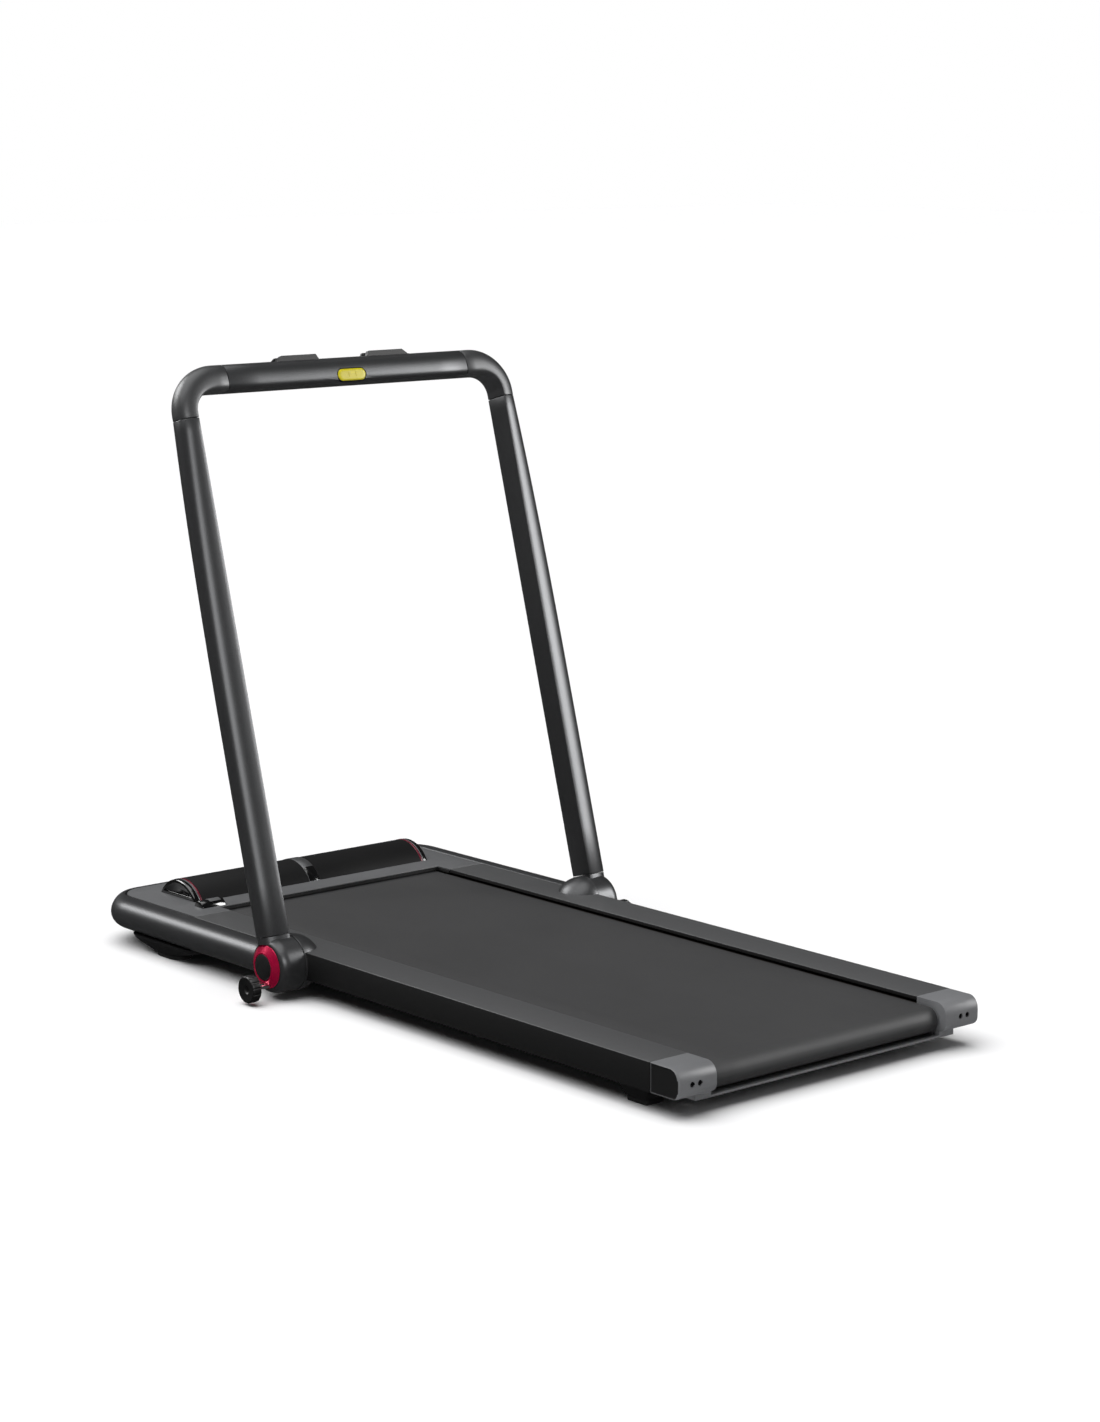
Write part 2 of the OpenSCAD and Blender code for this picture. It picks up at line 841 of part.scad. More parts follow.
module front_bumper() {
    color("#3f4144")
        difference() {
            bumper_sweep(0, hinge_y);
            bumper_sweep(bumper_wall, hinge_y - over);
            // the sides end in a hollow that clears the hinge barrels
            rod_x(barrel_r + bumper_end_gap, -rail_out - bumper_out - over, rail_out + bumper_out + over,
                hinge_y, hinge_z);
            block(-rail_out - bumper_out - over, rail_out + bumper_out + over,
                hinge_y - barrel_r * 2, hinge_y + barrel_r * 0.8, 0, deck_h + over);
            // window for the mains inlet
            block(inlet_x0 - seat_gap, inlet_x1 + seat_gap, inlet_y0, front_y + over,
                inlet_z0 - seat_gap, inlet_z1 + seat_gap);
        }
}

module belly_pan() {
    color("#141415")
        difference() {
            union() {
                difference() {
                    block(-pan_half, pan_half, pan_y0, pan_y1, pan_z, rail_bot);
                    block(-pan_half + pan_t, pan_half - pan_t, pan_y0 + pan_t, pan_y1 - pan_t,
                        pan_z + pan_t, rail_bot + over);
                }
                both_sides()
                    block(pan_half - pan_t, pan_flange_x, pan_y0, rail_end_y, rail_bot - pan_t, rail_bot);
                // ears for the transport wheels
                both_sides()
                    for (side = [-1, 1])
                        block(wheel_x + side * (wheel_w / 2 + 4) - 2, wheel_x + side * (wheel_w / 2 + 4) + 2,
                            wheel_y - 14, wheel_y + 14, pan_z, wheel_z + 16);
            }
            // low rear wall, under the belt's lower run
            block(-pan_half + pan_t, pan_half - pan_t, pan_y0 - over, pan_y0 + pan_t + over,
                pan_z + pan_t, rail_bot + over);
            block(-pan_half + pan_t, pan_half - pan_t, pan_y0 - over, front_roller_y + 30,
                roller_z - loop_out_r - 2, rail_bot + over);
            // wheel wells and axle bores
            both_sides() {
                block(wheel_x - wheel_w / 2 - 2, wheel_x + wheel_w / 2 + 2, wheel_y - wheel_r - 3,
                    wheel_y + wheel_r + 3, pan_z - over, rail_bot + 20);
                rod_x(4 + run_gap, wheel_x - wheel_w, wheel_x + wheel_w, wheel_y, wheel_z);
            }
        }
}

module transport_wheel() {
    rod_x(wheel_r, wheel_x - wheel_w / 2, wheel_x + wheel_w / 2, wheel_y, wheel_z);
    rod_x(4, wheel_x - wheel_w / 2 - 7, wheel_x + wheel_w / 2 + 7, wheel_y, wheel_z);
}

module right_transport_wheel() {
    color("#222222")
        transport_wheel();
}

module left_transport_wheel() {
    color("#222222")
        left_of()
            transport_wheel();
}

pod_x = rail_out + 0.5;
pod_y = opening_y + 27;
pod_top = deck_h - 2 * bumper_r;
pad_h = 8;

// Flat round plate, stretched along Y
module oval_plate(half_x, half_y, z, t) {
    translate([0, 0, z])
        linear_extrude(t)
            hull()
                for (side = [-1, 1])
                    translate([0, side * (half_y - half_x)])
                        circle(r = half_x, $fn = 32);
}

module front_foot_pods() {
    color("#0f0f10")
        both_sides()
            translate([pod_x, pod_y, 0])
                hull() {
                    oval_plate(31, 95, pod_top - 2, 2);
                    oval_plate(29, 72, pod_top - 9, 1);
                    oval_plate(24, 44, pad_h, 1);
                }
}

rear_foot_x = rail_out - 42;
rear_foot_y = seam_y + 54;

module rear_foot_blocks() {
    color("#0f0f10")
        both_sides()
            translate([rear_foot_x, rear_foot_y, 0])
                hull() {
                    translate([-26, -33, rail_bot - 6])
                        cube([52, 66, 6]);
                    translate([-20, -23, pad_h])
                        cube([40, 46, 2]);
                }
}

module foot_pads() {
    color("#050505")
        both_sides() {
            translate([pod_x, pod_y, 0])
                oval_plate(20, 34, 0, pad_h);
            translate([rear_foot_x - 18, rear_foot_y - 21, 0])
                cube([36, 42, pad_h]);
        }
}

socket_w = 25;
socket_h = 17;
socket_deep = 14;
socket_x = inlet_x0 + 24;
socket_z = (inlet_z0 + inlet_z1) / 2;
rocker_x = inlet_x1 - 26;
rocker_w = 20;
rocker_h = 13;

// Panel in the bumper's front with a mains socket and a place for the rocker switch
module power_inlet() {
    color("#111112")
        difference() {
            block(inlet_x0, inlet_x1, inlet_y0, inlet_front, inlet_z0, inlet_z1);
            block(socket_x - socket_w / 2, socket_x + socket_w / 2, inlet_front - socket_deep, front_y,
                socket_z - socket_h / 2, socket_z + socket_h / 2);
            block(rocker_x - rocker_w / 2 - 0.5, rocker_x + rocker_w / 2 + 0.5, inlet_front - 16, front_y,
                socket_z - rocker_h / 2 - 1, socket_z + rocker_h / 2 + 1);
        }
    color("#c8c8c8")
        for (p = [[-7, -2], [7, -2], [0, 3]])
            block(socket_x + p[0] - 1, socket_x + p[0] + 1, inlet_front - socket_deep - eps, inlet_front - 8,
                socket_z + p[1] - 2, socket_z + p[1] + 2);
}

rocker_y = inlet_front - 6;

module power_switch() {
    color("#7c1018")
        intersection() {
            rod_x(7.5, rocker_x - rocker_w / 2, rocker_x + rocker_w / 2, rocker_y, socket_z);
            block(rocker_x - rocker_w, rocker_x + rocker_w, rocker_y - 5, rocker_y + 9,
                socket_z - rocker_h / 2 + 0.6, socket_z + rocker_h / 2 - 0.6);
        }
}

// ---------- hinges ----------

dome_in = 50;        // how far the fixed dome reaches in over the rail

// Fixed half of a hinge: a domed casting saddled over the rail, with a round track in its face
module hinge_bracket() {
    difference() {
        translate([0, hinge_y, hinge_z])
            turned_x(concat(
                [[bracket_face - dome_in, 0]],
                [for (i = [1:8]) let (a = 90 * i / 8)
                    [bracket_face - (dome_in - bracket_t) * cos(a) - bracket_t, (barrel_r + 1) * sin(a)]],
                [[bracket_face, barrel_r + 1], [bracket_face, 0]]));
        block(rail_in - over, rail_out, hinge_y - 2 * barrel_r, hinge_y + 2 * barrel_r, rail_bot, deck_h);
        block(0, rail_in, hinge_y - 2 * barrel_r, hinge_y + 2 * barrel_r, 0, 2 * deck_h);
        translate([0, hinge_y, hinge_z]) {
            turned_x([[bracket_face - groove_deep, knob_drop - lock_r - 0.4],
                [bracket_face - groove_deep, knob_drop + lock_r + 0.4],
                [bracket_face + over, knob_drop + lock_r + 0.4],
                [bracket_face + over, knob_drop - lock_r - 0.4]]);
            rotate([0, 90, 0])
                cylinder(r = pin_r + run_gap, h = bracket_face + over);
        }
    }
}

module right_hinge_bracket() {
    color("#45484b")
        hinge_bracket();
}

module left_hinge_bracket() {
    color("#45484b")
        left_of()
            hinge_bracket();
}

pin_head_w = 6;      // head inside the hollow rail
pin_cover = 6;       // metal left over the pin's end in the moving half

module hinge_pins() {
    color("#b9bcc0")
        both_sides() {
            rod_x(pin_r, rail_out - rail_wall - eps, housing_out - pin_cover, hinge_y, hinge_z);
            rod_x(pin_r + 5, rail_out - rail_wall - pin_head_w, rail_out - rail_wall, hinge_y, hinge_z);
        }
}

ring_w = 8.5;
ring_out_r = 34.5;

// Moving half of a hinge: a barrel with a rounded outer shoulder and a neck for the arm
module hinge_housing() {
    shoulder = 16;
    ring_r = ring_out_r + 0.5;
    neck_inset = 0.25;
    on_handrail()
        difference() {
            union() {
                turned_x(concat(
                    [[housing_in, 0], [housing_in, barrel_r], [housing_out - shoulder, barrel_r]],
                    [for (i = [1:8]) let (a = 90 * i / 8)
                        [housing_out - shoulder + shoulder * sin(a),
                         ring_r + (barrel_r - ring_r) * cos(a)]],
                    [[housing_out, 0]]));
                translate([arm_in, 0, 0])
                    rotate([0, 0, -90])
                        linear_extrude(neck_s)
                            translate([0, neck_inset])
                                polygon(section(arm_d - 4 * neck_inset, arm_t_low - 2 * neck_inset, arm_soft));
            }
            // round seat in the neck for the ring
            rod_x(ring_r + seat_gap, housing_out, housing_out + 2 * ring_w, 0, 0);
            rod_x(pin_r + run_gap, housing_in - over, housing_out - pin_cover + run_gap, 0, 0);
            rod_x(lock_r + run_gap, housing_in - over, housing_out + 10, 0, -knob_drop);
        }
}

module right_hinge_housing() {
    color("#45484b")
        hinge_housing();
}

module left_hinge_housing() {
    color("#45484b")
        left_of()
            hinge_housing();
}

module hinge_rings() {
    color("#b0003a")
        both_sides()
            on_handrail()
                difference() {
                    turned_x([[housing_out, disc_r + seat_gap], [housing_out, ring_out_r - 0.5],
                        [housing_out + 1.5, ring_out_r], [housing_out + ring_w, disc_r + 2.5],
                        [housing_out + ring_w, disc_r + seat_gap]]);
                    rod_x(lock_r + 0.3, housing_out - over, housing_out + ring_w + over, 0, -knob_drop);
                }
}

module hinge_discs() {
    color("#38393c")
        both_sides()
            on_handrail()
                turned_x([[housing_out, 0], [housing_out, disc_r], [housing_out + ring_w, disc_r],
                    [housing_out + ring_w + 1, disc_r - 1], [housing_out + ring_w + 1, 0]]);
}

// ---------- lock knobs ----------

module lock_pin() {
    on_handrail()
        rod_x(lock_r, bracket_face - groove_deep + 0.5, knob_x + 6, 0, -knob_drop);
}

module right_lock_pin() {
    color("#c9ccd0")
        lock_pin();
}

module left_lock_pin() {
    color("#c9ccd0")
        left_of()
            lock_pin();
}

flutes = 14;

module lock_knob() {
    on_handrail()
        translate([0, 0, -knob_drop])
            difference() {
                turned_x([[knob_x - 5, 0], [knob_x - 5, 9], [knob_x, 10], [knob_x, knob_r - 1],
                    [knob_x + 1, knob_r], [knob_x + knob_w - 3, knob_r], [knob_x + knob_w, knob_r - 3],
                    [knob_x + knob_w, 7], [knob_x + knob_w - 3, 5], [knob_x + knob_w - 3, 0]]);
                rod_x(lock_r + run_gap, knob_x - 6, knob_x + 6.5, 0, 0);
                for (k = [0:flutes - 1])
                    rotate([360 * k / flutes, 0, 0])
                        rod_x(2.2, knob_x - over, knob_x + knob_w + over, 0, knob_r + 0.9);
            }
}

module right_knob() {
    color("#0a0a0b")
        lock_knob();
}

module left_knob() {
    color("#0a0a0b")
        left_of()
            lock_knob();
}

// ---------- arms and crossbar ----------

arm_stations = [for (k = [0:9]) mix(neck_s, arm_len, 1 - pow(1 - k / 9, 1.5))];
hollow_stations = concat([neck_s - over], [for (k = [1:8]) arm_stations[k]], [arm_len + over]);

module arm_tube() {
    on_handrail()
        difference() {
            swept(arm_rings(arm_stations, 0));
            swept(arm_rings(hollow_stations, tube_wall));
        }
}

module right_arm() {
    color("#3c3e41")
        arm_tube();
}

module left_arm() {
    color("#3c3e41")
        left_of()
            arm_tube();
}

elbow_steps = 12;

module elbow() {
    arm_end = [for (p = elbow_ring(0)) [p[0], p[1], arm_len]];
    bar_end = [for (p = elbow_ring(90)) [bar_seam_x, p[1], p[2]]];
    on_handrail()
        swept(concat([arm_end], [for (k = [0:elbow_steps]) elbow_ring(90 * k / elbow_steps)], [bar_end]));
}

module right_elbow() {
    color("#45474a")
        elbow();
}

module left_elbow() {
    color("#45474a")
        left_of()
            elbow();
}

rest_half = 136;
rest_e0 = -8;
rest_e1 = 16;
rest_low = bar_top - 5;
hook_in = 48;
hook_rise = 8;

key_w = 56.5;
key_h = 19.7;
key_deep = 9;
key_s = bar_s + 12.5;
key_face = -arm_d / 2 - 1;
key_wall = 1.3;
key_proud = 1.2;     // how far the key stands out of its socket

// Pill outline in the handrail's XZ plane, drawn out along its Y
module pill(w, h, y0, y1) {
    translate([0, y1, key_s])
        rotate([90, 0, 0])
            linear_extrude(y1 - y0) {
                for (side = [-1, 1])
                    translate([side * (w - h) / 2, 0])
                        circle(r = h / 2);
                square([w - h, h], center = true);
            }
}

module crossbar() {
    color("#3c3e41")
        on_handrail()
            difference() {
                translate([-bar_seam_x, 0, bar_s])
                    rotate([90, 0, 90])
                        linear_extrude(2 * bar_seam_x)
                            difference() {
                                polygon(section(arm_d, bar_t, bar_soft));
                                translate([0, tube_wall])
                                    polygon(section(arm_d - 2 * tube_wall, bar_t - 2 * tube_wall, bar_soft));
                            }
                block(-rest_half - seat_gap, rest_half + seat_gap, rest_e0 - seat_gap, rest_e1 + seat_gap,
                    rest_low - seat_gap, bar_top + over);
                pill(key_w + 2 * key_wall + 2 * seat_gap, key_h + 2 * key_wall + 2 * seat_gap,
                    -arm_d, key_face + key_deep + key_wall + 1.2);
            }
}

module key_socket() {
    color("#101011")
        on_handrail()
            difference() {
                pill(key_w + 2 * key_wall, key_h + 2 * key_wall, key_face + key_proud,
                    key_face + key_deep + key_wall + 0.8);
                pill(key_w + 2 * seat_gap, key_h + 2 * seat_gap, key_face - over, key_face + key_deep + 0.5);
            }
}

// Magnetic safety key with two small marks moulded into its face
module safety_key() {
    color("#f2d700")
        on_handrail()
            difference() {
                pill(key_w, key_h, key_face, key_face + key_deep);
                for (x = [-7, 7])
                    block(x - 0.7, x + 0.7, key_face - over, key_face + 0.8, key_s - 4, key_s + 4);
            }
}

slot_floor = bar_top - 3;
slot_e0 = 0;
slot_e1 = 11;

// Insert in the crossbar's top: a slot for a tablet's edge and two hooks in front of it
module tablet_rest() {
    color("#0b0b0c")
        on_handrail()
            difference() {
                union() {
                    block(-rest_half, rest_half, rest_e0, rest_e1, rest_low, bar_top - 0.5);
                    both_sides()
                        rotate([90, 0, 0])
                            translate([0, 0, -rest_e1])
                                linear_extrude(rest_e1 - rest_e0)
                                    polygon([[hook_in, bar_top - 1], [hook_in + 6, bar_top + hook_rise],
                                        [rest_half - 13, bar_top + hook_rise], [rest_half, bar_top - 1]]);
                }
                block(-rest_half - over, rest_half + over, slot_e0, slot_e1,
                    slot_floor, bar_top + hook_rise + over);
            }
}

left_side_rail();
right_side_rail();
left_rear_cap();
right_rear_cap();
rear_end_bolts();
front_bumper();
hood_plate();
hood_roll();
roll_end_caps();
roll_silver_rings();
roll_red_rings();
roll_strap();
strap_window();
start_switch_housing();
start_button();
belly_pan();
front_foot_pods();
rear_foot_blocks();
foot_pads();
front_crossmember();
middle_crossmembers();
rear_guard_bar();
running_board();
board_cushions();
walking_belt();
front_roller();
front_roller_axle();
front_roller_bearings();
rear_roller();
rear_roller_axle();
rear_roller_bearings();
motor();
motor_bracket();
motor_pulley();
drive_belt();
controller_board();
heat_sink();
power_inlet();
power_switch();
left_hinge_bracket();
right_hinge_bracket();
hinge_pins();
left_hinge_housing();
right_hinge_housing();
hinge_rings();
hinge_discs();
left_arm();
right_arm();
left_elbow();
right_elbow();
crossbar();
tablet_rest();
key_socket();
safety_key();
left_lock_pin();
right_lock_pin();
left_knob();
right_knob();
left_transport_wheel();
right_transport_wheel();
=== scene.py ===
import json
import math

import bmesh
import bpy
from bpy.props import FloatProperty, FloatVectorProperty, PointerProperty
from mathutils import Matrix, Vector


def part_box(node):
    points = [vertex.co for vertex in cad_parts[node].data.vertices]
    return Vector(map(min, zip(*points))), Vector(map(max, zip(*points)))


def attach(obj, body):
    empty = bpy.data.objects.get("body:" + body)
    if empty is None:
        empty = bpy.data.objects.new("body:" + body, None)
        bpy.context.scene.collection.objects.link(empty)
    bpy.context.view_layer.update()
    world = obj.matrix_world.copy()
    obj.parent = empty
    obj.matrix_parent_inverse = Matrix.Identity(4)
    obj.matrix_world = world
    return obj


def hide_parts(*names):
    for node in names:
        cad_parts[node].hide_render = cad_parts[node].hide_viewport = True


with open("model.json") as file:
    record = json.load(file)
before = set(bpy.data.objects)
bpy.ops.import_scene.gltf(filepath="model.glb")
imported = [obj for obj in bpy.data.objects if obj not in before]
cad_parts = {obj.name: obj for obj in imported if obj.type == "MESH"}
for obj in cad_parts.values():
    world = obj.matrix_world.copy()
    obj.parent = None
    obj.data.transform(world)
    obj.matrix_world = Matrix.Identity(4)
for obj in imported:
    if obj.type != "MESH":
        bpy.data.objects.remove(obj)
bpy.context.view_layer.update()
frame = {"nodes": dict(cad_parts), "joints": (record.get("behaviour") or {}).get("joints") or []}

bl_info = {
    "name": "Folding Treadmill",
    "version": (1, 0, 0),
    "blender": (4, 5, 0),
    "location": "View3D > Sidebar > Treadmill",
    "description": "Builds the skins, trims and finishes of a slim folding treadmill round its fixed frame",
    "category": "Object",
}

# ---------- places taken from the frame, in metres ----------

JOINTS = {joint["name"]: joint for joint in frame["joints"]}


def low(node):
    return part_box(node)[0]


def high(node):
    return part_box(node)[1]


DECK_TOP = high("right_side_rail").z
RAIL_LOW = low("right_side_rail").z
RAIL_OUT = high("right_side_rail").x
RAIL_IN = low("right_side_rail").x
SEAM_Y = low("right_side_rail").y
REAR_Y = low("right_rear_cap").y
FRONT_Y = high("front_bumper").y
BUMPER_X = high("front_bumper").x
BUMPER_R = (high("front_bumper").z - low("front_bumper").z) / 2
GROOVE_GAP = 0.0005
GROOVE_Y = high("hood_plate").y + GROOVE_GAP
EAR_Y = low("hood_plate").y
HOOD_EAR = 0.0317
OPENING_Y = EAR_Y + HOOD_EAR
CORNER_R = 0.048
BEND_R = 0.085
BELT_HALF = high("walking_belt").x
BELT_T = 0.002
COVER_Y = (low("hood_roll").y + high("hood_roll").y) / 2
COVER_TOP = high("hood_roll").z
COVER_R = 0.060
COVER_END = high("roll_end_caps").x
HINGE = Vector(JOINTS["handrail_fold"]["pos_m"])
PULL = Vector(JOINTS["safety_key_pull"]["axis"])
LEAN = math.atan2(PULL.z, -PULL.y)
BARREL_IN = low("right_hinge_housing").x
BARREL_W = 0.043
BARREL_OUT = BARREL_IN + BARREL_W
BARREL_R = 0.044
RING_OUT = high("hinge_rings").x
RING_R = 0.0345
RING_BORE_R = 0.0212
DISC_R = 0.0209
KNOB_OUT = high("right_knob").x
KNOB_R = 0.0215
KNOB_W = 0.016
KNOB_DROP = 0.029
ARM_IN = low("right_arm").x
ARM_DEPTH = 0.045
ARM_LOW_T = 0.044
ARM_HIGH_T = 0.030
ARM_GAP = 0.001
ARM_FOOT = BARREL_R + ARM_GAP
ARM_TOP = 0.866
ELBOW_RISE = 0.0395
BAR_LOW = ARM_TOP + ELBOW_RISE
BAR_T = 0.0445
BAR_TOP = BAR_LOW + BAR_T
ELBOW_REACH = 0.0492
ELBOW_TAIL = 0.008
ELBOW_X = ARM_IN - ELBOW_REACH
ELBOW_S = ARM_TOP + ELBOW_TAIL
BAR_END = high("crossbar").x


def on_rail(x, e, s):
    """A point of the handrail: x across, e towards its front and s along the arms from the hinge axis."""
    return Vector((x, HINGE.y + e * math.cos(LEAN) + s * math.sin(LEAN),
                   HINGE.z - e * math.sin(LEAN) + s * math.cos(LEAN)))


# ---------- sizes and colours a user would change ----------


class TreadmillSizes(bpy.types.PropertyGroup):
    edge: FloatProperty(name="Edge round", description="Radius of the small rounds on moulded edges",
                        default=0.0008, min=0.0002, max=0.002, unit="LENGTH")
    seam: FloatProperty(name="Seam", description="Half the width of the fine seams between skins",
                        default=0.0004, min=0.0001, max=0.001, unit="LENGTH")
    groove: FloatProperty(name="Hood groove", description="Width of the dark groove round the hood plate",
                          default=0.0026, min=0.001, max=0.004, unit="LENGTH")
    grain: FloatProperty(name="Grain", description="Size of the fine grain of the moulded plastic",
                         default=0.0007, min=0.0003, max=0.002, unit="LENGTH")
    weave: FloatProperty(name="Belt pattern", description="Pitch of the walking belt's fine pattern",
                         default=0.0022, min=0.001, max=0.005, unit="LENGTH")


def colour(name, text, value):
    return FloatVectorProperty(name=name, description=text, subtype="COLOR", size=3, min=0, max=1,
                               default=value)


class TreadmillColours(bpy.types.PropertyGroup):
    gunmetal: colour("Gunmetal", "Satin paint of the handrail, the bumper and the hinges",
                     (0.052, 0.053, 0.055))
    hood: colour("Hood", "Satin plastic of the hood plate", (0.120, 0.122, 0.126))
    rail: colour("Rail", "Top faces of the side rails", (0.080, 0.081, 0.083))
    black: colour("Black", "Moulded black plastic", (0.007, 0.007, 0.0075))
    belt: colour("Belt", "Walking belt", (0.032, 0.032, 0.033))
    crimson: colour("Crimson", "Anodised hinge rings", (0.52, 0.003, 0.055))
    burgundy: colour("Burgundy", "Lines round the motor cover", (0.16, 0.008, 0.025))
    yellow: colour("Yellow", "Safety key", (0.90, 0.72, 0.0))


# ---------- shader arithmetic ----------


class Wire:
    """A shader value that adds its own Math nodes when it is used in an expression."""

    def __init__(self, finish, socket):
        self.finish = finish
        self.socket = socket

    def maths(self, operation, first, second=None):
        values = {0: first}
        if second is not None:
            values[1] = second
        return self.finish.node("ShaderNodeMath", {"operation": operation}, values)

    def __add__(self, other):
        return self.maths("ADD", self, other)

    __radd__ = __add__

    def __sub__(self, other):
        return self.maths("SUBTRACT", self, other)

    def __rsub__(self, other):
        return self.maths("SUBTRACT", other, self)

    def __mul__(self, other):
        return self.maths("MULTIPLY", self, other)

    __rmul__ = __mul__

    def __truediv__(self, other):
        return self.maths("DIVIDE", self, other)

    def __pow__(self, other):
        return self.maths("POWER", self, other)

    def sine(self):
        return self.maths("SINE", self)

    def above(self, level):
        return self.maths("GREATER_THAN", self, level)


class Finish:
    """One procedural material, built round a Principled shader."""

    def __init__(self, name, colour_value, roughness, metallic=0.0, **constants):
        self.material = bpy.data.materials.new(name)
        self.material.use_nodes = True
        self.tree = self.material.node_tree
        self.shader = self.tree.nodes["Principled BSDF"]
        self.colour_value = (*colour_value, 1.0)
        self.material.diffuse_color = self.colour_value
        self.put("Base Color", self.colour_value)
        self.put("Roughness", roughness)
        self.put("Metallic", metallic)
        for socket, value in constants.items():
            self.put(socket.replace("_", " "), value)

    def link(self, value, socket):
        if isinstance(value, Wire):
            self.tree.links.new(value.socket, socket)
        else:
            socket.default_value = value

    def put(self, socket, value):
        self.link(value, self.shader.inputs[socket])

    def node(self, kind, settings=None, values=None, output=0):
        made = self.tree.nodes.new(kind)
        for name, value in (settings or {}).items():
            setattr(made, name, value)
        for socket, value in (values or {}).items():
            self.link(value, made.inputs[socket])
        return Wire(self, made.outputs[output])

    def place(self):
        return self.node("ShaderNodeTexCoord", output=3)

    def stretched(self, scale):
        return self.node("ShaderNodeMapping", {}, {"Vector": self.place(), "Scale": scale})

    def axes(self):
        split = self.tree.nodes.new("ShaderNodeSeparateXYZ")
        self.tree.links.new(self.place().socket, split.inputs[0])
        return [Wire(self, socket) for socket in split.outputs]

    def noise(self, scale, detail=2.0, vector=None, roughness=0.5):
        return self.node("ShaderNodeTexNoise", {}, {
            "Vector": vector or self.place(), "Scale": scale, "Detail": detail, "Roughness": roughness})

    def mixed(self, factor, first, second):
        return self.node("ShaderNodeMix", {"data_type": "RGBA"}, {0: factor, 6: first, 7: second}, output=2)

    def shade(self, factor, spread):
        """Base colour that drifts a little darker and lighter round its own value."""
        dark = [channel * (1 - spread) for channel in self.colour_value[:3]] + [1.0]
        light = [min(1.0, channel * (1 + spread)) for channel in self.colour_value[:3]] + [1.0]
        self.put("Base Color", self.mixed(factor, dark, light))

    def relief(self, height, depth):
        self.put("Normal", self.node("ShaderNodeBump", {}, {"Height": height, "Distance": depth}))


# ---------- finishes ----------


def satin_paint(name, value, roughness=0.36, metallic=0.55):
    """Metallic satin paint: fine orange peel, tiny flakes and a faint drift in its sheen."""
    finish = Finish(name, value, roughness, metallic)
    flakes = finish.node("ShaderNodeTexVoronoi", {}, {"Vector": finish.place(), "Scale": 1600.0}, output=1)
    glint = finish.node("ShaderNodeSeparateColor", {}, {0: flakes})
    drift = finish.noise(9.0, 3.0)
    finish.shade(glint * 0.6 + drift * 0.4, 0.22)
    finish.put("Roughness", roughness - 0.03 + drift * 0.05 + glint * 0.03)
    peel = finish.noise(420.0, 2.0)
    finish.relief(peel, 0.00004)
    return finish


def moulded(name, value, roughness=0.5, depth=0.00006, gloss=0.3):
    """Moulded plastic with a fine spark-eroded grain."""
    finish = Finish(name, value, roughness, Specular_IOR_Level=gloss)
    size = bpy.context.scene.treadmill_sizes.grain
    grain = finish.noise(1 / size, 3.0)
    cloud = finish.noise(14.0, 3.0)
    finish.shade(grain * 0.5 + cloud * 0.5, 0.25)
    finish.put("Roughness", roughness - 0.06 + grain * 0.08 + cloud * 0.05)
    finish.relief(grain, depth)
    return finish


def glossy(name, value, roughness=0.12, **constants):
    """Polished plastic with hair-fine handling marks."""
    finish = Finish(name, value, roughness, Coat_Weight=0.35, Coat_Roughness=0.08, **constants)
    haze = finish.noise(55.0, 4.0)
    hair = finish.noise(160.0, 2.0, finish.stretched((1.0, 9.0, 1.0)))
    finish.shade(haze, 0.18)
    finish.put("Roughness", roughness - 0.03 + haze * 0.07 + hair * 0.03)
    finish.relief(haze, 0.00001)
    return finish


def rubber(name, value):
    finish = Finish(name, value, 0.72)
    dust = finish.noise(240.0, 4.0)
    cloud = finish.noise(24.0, 3.0)
    finish.shade(dust * 0.6 + cloud * 0.4, 0.3)
    finish.put("Roughness", 0.64 + dust * 0.14)
    finish.relief(dust, 0.00012)
    return finish


def brushed(name, value, roughness=0.3, along=(1.0, 60.0, 60.0), metallic=1.0):
    """Metal with fine lines along one direction."""
    finish = Finish(name, value, roughness, metallic)
    lines = finish.noise(22.0, 3.0, finish.stretched(along))
    cloud = finish.noise(12.0, 2.0)
    finish.shade(lines, 0.16)
    finish.put("Roughness", roughness - 0.05 + lines * 0.10 + cloud * 0.04)
    finish.relief(lines, 0.000015)
    return finish


def anodised_ring(name, value):
    """Turned and anodised aluminium: fine rings round the hinge axis."""
    finish = Finish(name, value, 0.26, 0.5)
    x, y, z = finish.axes()
    away = ((y - HINGE.y) ** 2.0 + (z - HINGE.z) ** 2.0) ** 0.5
    rings = (away * 9000.0).sine() * 0.5 + 0.5
    cloud = finish.noise(40.0, 2.0)
    finish.shade(rings * 0.4 + cloud * 0.6, 0.16)
    finish.put("Roughness", 0.2 + rings * 0.05 + cloud * 0.05)
    finish.relief(rings, 0.000006)
    return finish


def belt_skin(name, value):
    """Walking belt: a fine diamond pattern pressed into its face, with soft streaks of wear along its length.
    """
    finish = Finish(name, value, 0.62, Specular_IOR_Level=0.3)
    pitch = bpy.context.scene.treadmill_sizes.weave
    x, y, z = finish.axes()
    turn = 2 * math.pi / pitch
    one = ((x + y) * turn).sine()
    two = ((x - y) * turn).sine()
    studs = (one * two) * 0.5 + 0.5
    grain = finish.noise(1400.0, 2.0)
    cloud = finish.noise(5.0, 4.0)
    streak = finish.noise(7.0, 3.0, finish.stretched((9.0, 0.7, 1.0)))
    finish.shade(studs * 0.35 + grain * 0.2 + cloud * 0.25 + streak * 0.2, 0.34)
    finish.put("Roughness", 0.52 + studs * 0.08 + cloud * 0.1)
    finish.relief(studs * 0.8 + grain * 0.2, 0.00012)
    return finish


